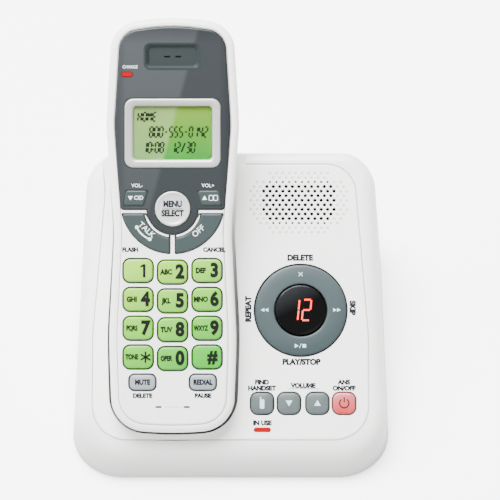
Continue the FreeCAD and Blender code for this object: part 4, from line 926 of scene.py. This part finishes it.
# ------------------------------------------------------------------ the base
@dataclass
class BaseUnit:
    """The answering base: casing, faceplate, rocker ring, keys, display and sockets."""

    printer: Printer = field(default_factory=lambda: Printer(PANEL, "root"))
    print_weight: float = 0.075
    cap_radius: float = 17.4
    ring_bore: float = 10.1
    window_radius: float = 9.65
    digit_font: SegmentFont = field(default_factory=lambda: SegmentFont(2.9, 7.9, 0.66, 0.1, 4.5))
    grille_row: float = 1.77
    grille_column: float = 2.45
    fade_side: float = 2.2
    fade_end: float = 4.5

    def dress(self) -> None:
        """Give the base's CAD nodes their finishes."""
        for finish, nodes in ((Finishes.CASING, "upper_housing"), (Finishes.PLATE, "faceplate"),
                              (Finishes.COVER, "bottom_cover"), (Finishes.CLOTH, "speaker"),
                              (Finishes.DARK, "power_jack line_jack ring_carrier led_display"),
                              (Finishes.RUBBER, "feet"), (Finishes.STEEL, "screws"),
                              (Finishes.MAT, "keypad_mat"), (Finishes.BOARD, "circuit_board"),
                              (Finishes.CONTACT, "charge_contact_left charge_contact_right"),
                              (Finishes.RED_LIGHT, "in_use_light")):
            dress(finish, *("base_" + node for node in nodes.split()))

    def ring(self) -> None:
        """Rocker ring: a turned band whose top falls slightly to both edges, with a hidden flange."""
        low, high = PANEL.extent("base_ring_button")
        flange, floor, top = high[0], low[2], high[2]
        step = floor + 0.8
        outer = lathe_edge(self.cap_radius, top - 0.15, 0.7, False)
        inner = lathe_edge(self.ring_bore, top - 0.1, 0.6, True)
        middle = (self.cap_radius + self.ring_bore) / 2
        profile = [(self.ring_bore, floor), (flange, floor), (flange, step), (self.cap_radius, step)]
        profile += outer + [(middle + 2.2, top - 0.04), (middle, top), (middle - 2.2, top - 0.03)]
        profile += inner[::-1]
        show("base_ring_cap", PANEL, turned(profile), Finishes.RING, "base_ring_button",
             "base_ring_button")
        ink = Printer(PANEL, "base_ring_button")
        r = middle
        inked = (top, top + INK_HEIGHT)
        cross = [line((-0.75, -0.75 * s + r), (0.75, 0.75 * s + r), 0.28, *inked) for s in (1, -1)]
        ink.marks("ring_delete_mark", cross, Finishes.PALE_INK, "slate_keys")
        arrows = []
        for side in (-1, 1):
            for shift in (-0.75, 0.75):
                tip = side * (r + shift * 1.0) + side * 0.7
                back = tip - side * 1.35
                arrows.append(flat_slab(np.array([[back, 0.72], [back, -0.72], [tip, 0.0]]), *inked))
        ink.marks("ring_skip_marks", arrows, Finishes.PALE_INK, "slate_keys")
        play = [flat_slab(np.array([[-2.3, -r + 0.8], [-2.3, -r - 0.8], [-0.9, -r]]), *inked),
                line((-0.55, -r - 0.85), (0.15, -r + 0.85), 0.22, *inked),
                flat_slab(rounded_ring(1.35, 1.35, 0.1, 3) + np.array([1.3, -r]), *inked)]
        ink.marks("ring_play_mark", play, Finishes.PALE_INK, "slate_keys")

    def window(self) -> None:
        """Glossy window: circles that shrink as the dome rises, and two lit digits on it."""
        low, high = PANEL.extent("base_display_window")
        top = high[2]
        turn = np.linspace(0, math.pi / 2, 6)
        edge, dome = 0.5, 0.35
        levels = [(self.window_radius, low[2])]
        levels += [(self.window_radius - edge * (1 - math.cos(a)), top - dome - edge * (1 - math.sin(a)))
                   for a in turn]
        levels += [(self.window_radius * share, top - dome * share ** 2) for share in (0.8, 0.55, 0.25)]
        show("base_window_dome", PANEL, lofted(circles(levels, 96)), Finishes.WINDOW, "root",
             "base_display_window")
        font = self.digit_font
        left = -(font.pitch + font.width) / 2 - font.slant * font.height / 2
        shapes = font.write("12", left, -font.height / 2, top - 0.05, top + 0.03)
        self.printer.marks("base_digits", shapes, Finishes.RED_DIGIT, "red_digits")

    def buttons(self) -> None:
        """Four crowned square keys with their marks."""
        for node in ("base_find_button", "base_volume_down_button", "base_volume_up_button",
                     "base_answer_button"):
            red = node == "base_answer_button"
            finish, ink, slot = ((Finishes.RED_KEY, Finishes.DARK_RED_INK, "red_button") if red else
                                 (Finishes.BUTTON, Finishes.PALE_INK, "grey_buttons"))
            centre = PANEL.middle(node)
            cap = PillowCap(*cap_size(PANEL, node), 2.6, 0.75, 0.3)
            show(node + "_cap", PANEL, cap.shape(centre, PANEL.extent(node)[0][2]), finish, node, node)
            Printer(PANEL, node).marks(node + "_mark", self.button_mark(node, centre), ink, slot)
            # Painted shadow line round each key.
            rim = rim_line(cap.width, cap.height, cap.radius, 0.26, 0.5, centre, 0.0)
            self.printer.marks(node + "_line", [rim], Finishes.GAP_SHADOW, "white_casing")

    def button_mark(self, node: str, centre: np.ndarray) -> List[Shape]:
        """Shapes of the mark on one base key.

        Args:
            node: The key's node.
            centre: Middle and top of the key.

        Returns:
            The shapes.
        """
        x, y, top = centre
        low, high = top - 0.12, top + 0.02
        if node == "base_answer_button":
            return [stroke(arc((x, y), 1.75, 125, 415, 28), 0.45, low, high),
                    line((x, y + 0.3), (x, y + 2.3), 0.45, low, high)]
        if node == "base_find_button":
            body = flat_slab(rounded_ring(1.7, 3.6, 0.5, 4) + np.array([x, y - 0.35]), low, high)
            aerial = line((x - 0.6, y + 1.2), (x - 0.6, y + 2.4), 0.4, low, high)
            return [body, aerial]
        side = 1 if node == "base_volume_up_button" else -1
        foot, tip = y - side * 1.0, y + side * 1.2
        return [flat_slab(np.array([[x - 1.3, foot], [x + 1.3, foot], [x, tip]]), low, high)]

    def grille(self) -> None:
        """Shallow moulded domes that carry the loudspeaker's hole pattern outwards."""
        low, high = PANEL.extent("base_speaker")
        centre = np.array([(low[0] + high[0]) / 2, (low[1] + high[1]) / 2])
        counts = (9, 10, 11, 12, 11, 12, 11, 12, 11, 10)
        spots = []
        for index in range(-2, 12):
            along = (index - 4.5) * self.grille_row
            count = counts[index] if 0 <= index < 10 else 0
            parity = (counts[index % 2] if count == 0 else count) % 2
            columns = np.arange(-9, 10) + (0.0 if parity else 0.5)
            for column in columns:
                outside = abs(column) > (count - 1) / 2 + 0.25
                fade = abs(column) <= ((count - 1) / 2 + self.fade_side if count else self.fade_end)
                if outside and fade:
                    spots.append((centre[0] + column * self.grille_column, centre[1] + along))
        dome, faces = lofted(circles(((0.62, -0.05), (0.6, 0.02), (0.4, 0.09)), 12))
        shapes = [(dome + np.array([x, y, 0.0]), faces) for x, y in spots]
        # Painted shade: the domes take the grey cover finish, darker than the white faceplate round them.
        show("base_grille_dimples", PANEL, merged(shapes), Finishes.COVER, "root")

    def legends(self) -> None:
        """Printed words of the panel."""
        p = self.printer
        large, small = 2.9, 2.35
        places = (("DELETE", -0.2, 20.1, large, 0), ("REPEAT", -19.9, 0.4, large, 90),
                  ("SKIP", 19.7, 0.9, large, -90), ("PLAY/STOP", 0.2, -19.9, large, 0),
                  ("FIND", -14.8, -27.6, small, 0), ("HANDSET", -14.8, -29.9, small, 0),
                  ("VOLUME", 0.9, -28.9, small, 0), ("ANS", 16.4, -27.6, small, 0),
                  ("ON/OFF", 16.4, -29.9, small, 0), ("IN USE", -14.7, -43.1, small, 0))
        words = [p.word(text, (x, y), 0, size, self.print_weight, turn) for text, x, y, size, turn in places]
        p.marks("base_legends", words, Finishes.INK, "white_casing")
        left, right = PANEL.middle("base_volume_down_button"), PANEL.middle("base_volume_up_button")
        y = left[1] + 5.3
        bracket = np.array([[left[0], y - 0.5], [left[0], y + 0.3], [right[0], y + 0.3], [right[0], y - 0.5]])
        lines = [stroke(np.stack([bracket[i], bracket[i + 1]]), 0.16, 0.0, 0.02) for i in range(3)]
        p.marks("base_volume_bracket", lines, Finishes.INK, "white_casing")

    def sockets(self) -> None:
        """Spring wires inside the telephone-line socket."""
        low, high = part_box("base_line_jack")
        middle = (low.x + high.x) / 2
        wires = []
        for index in range(4):
            x = middle / MM + (index - 1.5) * 1.02
            path = np.column_stack([np.full(8, x), np.linspace(high.y / MM - 2.0, high.y / MM - 10.5, 8),
                                    (low.z + high.z) / 2 / MM + np.linspace(2.9, -0.6, 8)])
            wires.append(self.wire(path, 0.22))
        points, faces = merged(wires)
        new_piece("line_socket_wires", points * MM, faces, Finishes.CONTACT, "root")

    @staticmethod
    def wire(path: np.ndarray, radius: float) -> Shape:
        """A thin round wire along a path that keeps its across place.

        Args:
            path: An (n, 3) array.
            radius: Radius of the wire.

        Returns:
            Points and faces.
        """
        angle = np.linspace(0, 2 * math.pi, 8, endpoint=False)
        run = np.gradient(path, axis=0)
        run /= np.linalg.norm(run, axis=1)[:, None]
        side = np.array([1.0, 0.0, 0.0])
        up = np.cross(run, side)
        rings = (path[:, None, :] + radius * (np.cos(angle)[None, :, None] * side
                                              + np.sin(angle)[None, :, None] * up[:, None, :]))
        points, faces = lofted(rings)
        return points, [face[::-1] for face in faces]

    def build(self) -> None:
        """Make and dress the whole base."""
        self.dress()
        self.ring()
        self.window()
        self.buttons()
        self.grille()
        self.legends()
        self.sockets()


# ------------------------------------------------------------------ the handset
@dataclass
class HandsetUnit:
    """The handset: casing, fascia, display and keys."""

    printer: Printer = field(default_factory=lambda: Printer(FACE, "handset"))
    print_weight: float = 0.075
    legend_size: float = 2.15
    reach: float = 0.3
    screen_font: SegmentFont = field(default_factory=lambda: SegmentFont(1.22, 3.8, 0.62, 0.1, 1.86))
    letters: Dict[str, Tuple[str, str]] = field(default_factory=lambda: {
        "key_1": ("", "1"), "key_2": ("ABC", "2"), "key_3": ("DEF", "3"), "key_4": ("GHI", "4"),
        "key_5": ("JKL", "5"), "key_6": ("MNO", "6"), "key_7": ("PQRS", "7"), "key_8": ("TUV", "8"),
        "key_9": ("WXYZ", "9"), "key_star": ("TONE", "*"), "key_0": ("OPER", "0"), "key_hash": ("", "#")})

    def dress(self) -> None:
        """Give the handset's CAD nodes their finishes."""
        for finish, nodes in ((Finishes.CASING, "front_housing rear_housing battery_cover"),
                              (Finishes.FASCIA, "fascia"), (Finishes.GLASS, "display_lens"),
                              (Finishes.SCREEN, "lcd"), (Finishes.RED_LIGHT, "charge_light"),
                              (Finishes.DARK, "receiver microphone ringer battery_lead"),
                              (Finishes.MAT, "keypad_mat"), (Finishes.BOARD, "circuit_board"),
                              (Finishes.CONTACT, "charge_contacts"), (Finishes.CELL, "battery_pack"),
                              (Finishes.STEEL, "screws")):
            dress(finish, *("handset_" + node for node in nodes.split()))
        dress(Finishes.SLATE, "key_talk", "key_off", "key_volume_down", "key_volume_up")

    def cap(self, node: str, radius: float, finish: Finishes, slot: str) -> np.ndarray:
        """Replace a rectangular key's node by a crowned cap.

        Args:
            node: The key's node.
            radius: Corner radius in millimetres.
            finish: Finish of the cap.
            slot: Material slot; not used.

        Returns:
            Across, along and height of the middle of its top.
        """
        centre = FACE.middle(node)
        cap = PillowCap(*cap_size(FACE, node), radius, 0.7, 0.25)
        show(node + "_cap", FACE, cap.shape(centre, FACE.extent(node)[0][2]), finish, node, node)
        return centre

    def number_keys(self) -> None:
        """Twelve lit keys with a large figure and small letters; the star is three crossed strokes."""
        for node, (letters, figure) in self.letters.items():
            x, y, top = self.cap(node, 2.4, Finishes.LIT_KEY, "lit_keys")
            p = Printer(FACE, node)
            right = x + (2.75 if letters else 2.0)
            inked = (top - self.reach, top + 0.02)
            if figure == "*":
                shapes = [stroke(arc((right, y), 2.1, angle, angle + 180, 2), 0.62, *inked)
                          for angle in (30, 90, 150)]
            elif figure == "1":
                shapes = [line((right + 0.3, y - 2.45), (right + 0.3, y + 2.45), 0.95, *inked),
                          line((right - 1.1, y + 1.35), (right + 0.1, y + 2.2), 0.7, *inked)]
            else:
                size = 6.4 if figure == "#" else 7.0
                shapes = [p.word(figure, (right, y), top, size, 0.05, squeeze=0.9, sink=self.reach)]
            if letters:
                squeeze = 0.68 if len(letters) == 4 else 0.86
                shapes.append(p.word(letters, (x - 2.35, y), top, 2.6, 0.06, squeeze=squeeze,
                                     sink=self.reach))
            p.marks(node + "_legend", shapes, Finishes.BLACK_INK, "lit_keys")

    def soft_keys(self) -> None:
        """Mute and redial keys."""
        for node, text in (("key_mute", "MUTE"), ("key_redial", "REDIAL")):
            x, y, top = self.cap(node, 1.8, Finishes.PALE_KEY, "pale_keys")
            p = Printer(FACE, node)
            word = p.word(text, (x, y), top, 2.6, 0.055, squeeze=0.84, sink=self.reach)
            p.marks(node + "_legend", [word], Finishes.INK, "pale_keys")

    def key_lines(self) -> None:
        """Painted shadow lines where the keys meet the face, and one round the menu key on the fascia."""
        for name, nodes, radius in (("number_key_lines", tuple(self.letters), 2.4),
                                    ("soft_key_lines", ("key_mute", "key_redial"), 1.8)):
            lines = [rim_line(*cap_size(FACE, node), radius, 0.28, 0.62, FACE.middle(node), 0.0)
                     for node in nodes]
            self.printer.marks(name, lines, Finishes.GAP_SHADOW, "white_casing")
        top = FACE.extent("handset_fascia")[1][2]
        lines = [rim_line(13.2, 13.2, 6.6, 0.28, 0.75, FACE.middle("key_menu"), top)]
        trapezium = np.array([[9.3, 6.9], [17.4, 6.9], [18.4, 1.3], [11.0, 1.3]])
        for side in (-1, 1):
            lines.append(self.round_line(trapezium * np.array([side, 1.0]), 0.9, top))
        self.printer.marks("fascia_key_lines", lines, Finishes.GAP_SHADOW, "grey_fascia")
        inner, outer, upper_edge = 10.9, 19.4, -1.9
        axis = np.array([0.0, 2.7])
        bottom = [math.degrees(math.asin(1.1 / r)) for r in (inner, outer)]
        side_angle = [math.degrees(math.acos((axis[1] - upper_edge) / r)) for r in (inner, outer)]
        sector = np.concatenate([arc(axis, outer, -90 + bottom[1], -90 + side_angle[1], 24),
                                 arc(axis, inner, -90 + side_angle[0], -90 + bottom[0], 18)])
        lines = [self.round_line(sector * np.array([side, 1.0]), 0.8, 0.0) for side in (-1, 1)]
        self.printer.marks("call_key_lines", lines, Finishes.GAP_SHADOW, "white_casing")

    @staticmethod
    def round_line(outline: np.ndarray, width: float, surface: float) -> Shape:
        """A line centred on a closed outline, one straight stroke for each side.

        Args:
            outline: An (n, 2) array.
            width: Width of the line.
            surface: Height of the face.

        Returns:
            Points in the face's frame and faces.
        """
        ends = np.roll(outline, -1, axis=0)
        return merged([stroke(np.stack([first, last]), width, surface - 0.04, surface + 0.012)
                       for first, last in zip(outline, ends)])

    def bezel(self) -> None:
        """Crowned frame of the display: rings blend from its outer to its inner outline."""
        low, high = FACE.extent("handset_display_bezel")
        lens_low, lens_high = FACE.extent("handset_display_lens")
        outer_size, inner_size = high[:2] - low[:2], lens_high[:2] - lens_low[:2] + 0.1
        outer_place, inner_place = (high[:2] + low[:2]) / 2, (lens_high[:2] + lens_low[:2]) / 2
        top, floor = high[2], low[2]
        steps = ((0.0, floor), (0.0, top - 0.55), (0.04, top - 0.25), (0.13, top - 0.05), (0.3, top),
                 (0.6, top - 0.03), (0.8, top - 0.16), (0.93, top - 0.45), (1.0, top - 0.8), (1.0, floor))
        rings = []
        for share, height in steps:
            size = outer_size * (1 - share) + inner_size * share
            place = outer_place * (1 - share) + inner_place * share
            ring = rounded_ring(size[0], size[1], 3.2 - 1.7 * share) + place
            rings.append(level(ring, height))
        show("display_bezel_frame", FACE, band(rings), Finishes.BEZEL, "handset",
             "handset_display_bezel")
        # Painted shadow line where the bezel meets the fascia.
        rim = rim_line(*outer_size, 3.2, 0.02, 0.4, outer_place, FACE.extent("handset_fascia")[1][2])
        self.printer.marks("display_bezel_line", [rim], Finishes.GAP_SHADOW, "grey_fascia")

    def earpiece(self) -> None:
        """Painted shade in the earpiece hollow: a dark lining with sloping walls and a floor with two real
        slots, and a dark line round the hollow's edge.
        """
        receiver = FACE.middle("handset_receiver")
        centre = np.array([0.0, receiver[1]])
        top = FACE.extent("handset_fascia")[1][2]
        floor = top - 1.1
        rings = [level(rounded_ring(w, h, r) + centre, z)
                 for w, h, r, z in ((20.6, 9.3, 1.8, floor + 0.01), (20.6, 9.3, 1.8, top - 0.08),
                                    (20.2, 8.9, 1.7, top - 0.06), (17.6, 6.9, 1.5, floor + 0.12),
                                    (17.4, 6.7, 1.4, floor + 0.01))]
        shapes = [band(rings)]
        for side in (-1, 1):
            middle = centre + np.array([side * 4.4, 0.0])
            slot = centre + np.array([side * 2.05, 0.0])
            outer = rounded_ring(8.8, 6.8, 0.2) + middle
            inner = rounded_ring(2.4, 0.7, 0.34) + slot
            shapes.append(band([level(ring, floor + z) for ring, z in
                                ((outer, 0.01), (outer, 0.07), (inner, 0.07), (inner, 0.01))]))
        show("earpiece_shade_lining", FACE, merged(shapes), Finishes.EAR_SHADE, "handset")
        # Painted shade along the hollow's edge on the fascia.
        rim = rim_line(20.7, 9.4, 2.0, -0.02, 0.45, centre, top)
        self.printer.marks("earpiece_rim", [rim], Finishes.EAR_SHADE, "grey_fascia")

    def menu_key(self) -> None:
        """Round key: a turned disc with a dished top inside a fine rim."""
        low, high = FACE.extent("key_menu")
        centre = FACE.middle("key_menu")
        top, floor = high[2], low[2]
        radius = 6.6
        levels = [(radius, floor), (radius, top - 0.45), (radius - 0.12, top - 0.15), (radius - 0.35, top),
                  (radius - 0.75, top), (radius - 1.0, top - 0.16), (radius * 0.6, top - 0.24),
                  (radius * 0.2, top - 0.28)]
        show("key_menu_cap", FACE, lofted(circles(levels, 72, centre)), Finishes.SILVER, "key_menu",
             "key_menu")
        p = Printer(FACE, "key_menu")
        face = top - 0.17
        shapes = [p.word(text, (centre[0], centre[1] + rise), face, 3.1, 0.05, squeeze=0.82, sink=0.2)
                  for text, rise in (("MENU", 1.75), ("SELECT", -1.75))]
        shapes.append(line((centre[0] - 3.9, centre[1]), (centre[0] + 3.9, centre[1]), 0.2, face - 0.2,
                           face + 0.02))
        p.marks("key_menu_legend", shapes, Finishes.INK, "silver_key")

    def call_keys(self) -> None:
        """Words and a curved receiver mark on the call keys, marks on the volume keys."""
        for node, text, side in (("key_talk", "TALK", -1), ("key_off", "OFF", 1)):
            centre = FACE.middle(node)
            p = Printer(FACE, node)
            x, y = centre[0] - side * 0.3, centre[1] + 0.9
            if side < 0:
                y += 0.5
            shapes = [p.word(text, (x, y), centre[2], 3.0, 0.004, side * 42)]
            if side < 0:
                inked = (centre[2], centre[2] + INK_HEIGHT)
                curve = arc((x + 4.1, y + 4.6), 8.6, 205, 250, 12)
                shapes.append(stroke(curve, 0.55, *inked))
                for end in (curve[0], curve[-1]):
                    shapes.append(flat_slab(rounded_ring(1.3, 1.3, 0.5, 5) + end, *inked))
            p.marks(node + "_legend", shapes, Finishes.WHITE_INK, "slate_keys")
        for node, side, text in (("key_volume_down", -1, "CID"), ("key_volume_up", 1, "")):
            x, y, top = FACE.middle(node)
            inked = (top, top + INK_HEIGHT)
            arrow = np.array([[-0.9, -0.7 * side], [0.9, -0.7 * side], [0.0, 0.9 * side]])
            shapes = [flat_slab(arrow + np.array([x - 1.9, y]), *inked)]
            p = Printer(FACE, node)
            if text:
                shapes.append(p.word(text, (x + 1.2, y), top, 2.1, 0.008))
            else:
                for shift in (-0.85, 0.85):
                    box = rounded_ring(1.5, 1.9, 0.3, 4) + np.array([x + 1.4 + shift, y])
                    shapes.append(stroke(np.concatenate([box, box[:1]]), 0.24, *inked))
            p.marks(node + "_legend", shapes, Finishes.WHITE_INK, "slate_keys")

    def screen(self) -> None:
        """Segments on the screen: a name, a number and the time and date."""
        low, high = FACE.extent("handset_display_lens")
        size, place = high[:2] - low[:2] - 0.1, (high[:2] + low[:2]) / 2
        floor = low[2] + 0.08
        rings = np.stack([level(rounded_ring(*size, 1.5) + place, z) for z in (low[2] + 0.02, floor)])
        show("screen_panel", FACE, lofted(rings), Finishes.SCREEN, "handset")
        font = self.screen_font
        left, right = low[0] + 1.7, high[0] - 1.3
        rows = [low[1] + 2.6, low[1] + 8.4, low[1] + 14.4]
        ink = (floor + 0.01, floor + 0.05)
        shapes = replace(font, height=3.2).write("HOME", left, rows[2], *ink)
        number = "800-555-0142"
        shapes += font.write(number, right - font.pitch * len(number), rows[1], *ink)
        shapes += font.write("10:08", left + 1.9, rows[0], *ink)
        shapes += font.write("12/30", left + 12.6, rows[0], *ink)
        self.printer.marks("screen_segments", shapes, Finishes.SCREEN_INK, "green_display")

    def legends(self) -> None:
        """Printed words round the handset's keys."""
        p = self.printer
        places = (("DELETE", "key_mute", 0.0, -5.1), ("PAUSE", "key_redial", 0.0, -5.1),
                  ("FLASH", "key_talk", -5.9, -6.1), ("CANCEL", "key_off", 5.6, -6.1))
        words = []
        for text, node, across, along in places:
            x, y, _ = FACE.middle(node)
            words.append(p.word(text, (x + across, y + along), 0, self.legend_size, self.print_weight))
        p.marks("handset_legends", words, Finishes.INK, "white_casing")
        top = FACE.extent("handset_fascia")[1][2]
        places = (("VOL-", "key_volume_down", 0.6, 4.6, 1.9, 0.004, 1.0),
                  ("VOL+", "key_volume_up", -0.6, 4.6, 1.9, 0.004, 1.0),
                  ("CHARGE", "handset_charge_light", 1.2, 2.7, 1.7, 0.002, 0.85))
        words = []
        for text, node, across, along, size, weight, squeeze in places:
            x, y, _ = FACE.middle(node)
            words.append(p.word(text, (x + across, y + along), top, size, weight, squeeze=squeeze))
        p.marks("fascia_legends", words, Finishes.WHITE_INK, "grey_fascia")

    def mouthpiece(self) -> None:
        """Painted shade in the two microphone slots, as near-black slabs, with a fine moulded line between
        them.
        """
        mic = FACE.middle("handset_microphone")
        middle = line((mic[0] - 2.9, mic[1]), (mic[0] + 2.9, mic[1]), 0.25, -0.02, 0.03)
        self.printer.marks("mouthpiece_line", [middle], Finishes.COVER, "white_casing")
        hole = rounded_ring(2.3, 0.62, 0.3)
        # Near-black slabs in the slots: painted shade.
        slots = [flat_slab(hole + np.array([mic[0] + side * 5.3, mic[1]]), -0.5, -0.03) for side in (-1, 1)]
        self.printer.marks("mouthpiece_slot_shade", slots, Finishes.SCREEN_INK, "dark_parts")

    def grip(self) -> None:
        """Low rounded ribs across the battery cover for the thumb."""
        node = "handset_battery_cover"
        axis = next(j["axis"] for j in frame["joints"] if j["child"] == node)
        run = -np.asarray(axis, float)
        lid = LocalFrame(FACE.origin, run, np.cross(run, np.array([1.0, 0.0, 0.0])))
        own_low, own_high = lid.extent(node)
        surface = own_high[2] if abs(own_high[2]) > abs(own_low[2]) else own_low[2]
        outward = -1.0 if surface == own_low[2] else 1.0
        ribs = []
        for index in range(6):
            along = own_low[1] + 5.0 + index * 2.2
            ring = rounded_ring(15.0 - index * 1.2, 1.0, 0.5, 5)
            place = np.array([(own_low[0] + own_high[0]) / 2, along])
            stack = np.stack([level(ring * share + place, surface + outward * height)
                              for share, height in ((1.0, -0.1), (1.0, 0.1), (0.7, 0.28))])
            points, faces = lofted(stack)
            ribs.append((points, [face[::-1] for face in faces] if outward < 0 else faces))
        show("battery_cover_ribs", lid, merged(ribs), Finishes.CASING, node)

    def build(self) -> None:
        """Make and dress the whole handset."""
        self.dress()
        self.number_keys()
        self.soft_keys()
        self.menu_key()
        self.key_lines()
        self.bezel()
        self.earpiece()
        self.call_keys()
        self.screen()
        self.legends()
        self.mouthpiece()
        self.grip()


# ------------------------------------------------------------------ the studio
@dataclass
class Studio:
    """Pale floor, soft lights and the camera."""

    elevation: float = 56.0
    distance: float = 1.1
    lens: float = 206.8
    target: Tuple[float, float, float] = (0.00738, 0.00403, 0.04481)
    floor_half: float = 3.0
    floor_shade: float = 0.95
    floor_light: float = 2.2
    sky_strength: float = 0.9

    def floor(self) -> None:
        """A wide pale floor under the feet, brightened for the camera's own rays only."""
        mesh = bpy.data.meshes.new("floor")
        half = self.floor_half
        mesh.from_pydata([(-half, -half, 0), (half, -half, 0), (half, half, 0), (-half, half, 0)], [],
                         [(0, 1, 2, 3)])
        material = bpy.data.materials.new("pale floor")
        material.use_nodes = True
        shader = material.node_tree.nodes["Principled BSDF"]
        values = {"Base Color": (*[self.floor_shade] * 3, 1), "Roughness": 0.8, "Specular IOR Level": 0.1,
                  "Emission Color": (1, 1, 1, 1)}
        for label, value in values.items():
            shader.inputs[label].default_value = value
        path = material.node_tree.nodes.new("ShaderNodeLightPath")
        bright = material.node_tree.nodes.new("ShaderNodeMath")
        bright.operation = "MULTIPLY"
        bright.inputs[1].default_value = self.floor_light
        material.node_tree.links.new(path.outputs["Is Camera Ray"], bright.inputs[0])
        material.node_tree.links.new(bright.outputs[0], shader.inputs["Emission Strength"])
        mesh.materials.append(material)
        ground = bpy.data.objects.new("floor", mesh)
        bpy.context.scene.collection.objects.link(ground)

    def area(self, name: str, place: Tuple[float, float, float], size: float, power: float) -> None:
        """A soft square light that faces the phone.

        Args:
            name: Name of the light.
            place: Its place in metres.
            size: Its side in metres.
            power: Its power in watts.
        """
        lamp = bpy.data.lights.new(name, "AREA")
        lamp.size = size
        lamp.energy = power
        carrier = bpy.data.objects.new(name, lamp)
        carrier.location = place
        aim = Vector(self.target) - Vector(place)
        carrier.rotation_euler = aim.to_track_quat("-Z", "Y").to_euler()
        bpy.context.scene.collection.objects.link(carrier)

    def lights(self) -> None:
        """Broad light from above, weaker ones from the left and the front, and an even sky."""
        self.area("light_above", (-0.3, 0.45, 1.6), 1.1, 135)
        self.area("light_left", (-1.3, 0.1, 1.0), 0.9, 18)
        self.area("light_front", (0.6, -1.1, 1.3), 0.9, 3)
        world = bpy.data.worlds.new("studio")
        bpy.context.scene.world = world
        world.use_nodes = True
        sky = world.node_tree.nodes["Background"]
        sky.inputs["Color"].default_value = (1, 1, 1, 1)
        sky.inputs["Strength"].default_value = self.sky_strength

    def camera(self) -> None:
        """Camera in front, above and level, looking down at the panel."""
        data = bpy.data.cameras.new("camera")
        data.lens = self.lens
        data.sensor_width = 36.0
        data.clip_end = 20.0
        carrier = bpy.data.objects.new("camera", data)
        tilt = math.radians(self.elevation)
        offset = np.array([0.0, -math.cos(tilt), math.sin(tilt)]) * self.distance
        carrier.location = np.asarray(self.target) + offset
        carrier.rotation_euler = (math.pi / 2 - tilt, 0, 0)
        bpy.context.scene.collection.objects.link(carrier)
        bpy.context.scene.camera = carrier

    def build(self) -> None:
        """Set the whole studio."""
        self.floor()
        self.lights()
        self.camera()


def main() -> None:
    """Build the studio, the base and the handset."""
    logging.basicConfig(level=logging.INFO, format="%(name)s %(message)s")
    Studio().build()
    BaseUnit().build()
    HandsetUnit().build()


if __name__ == "__main__":
    main()
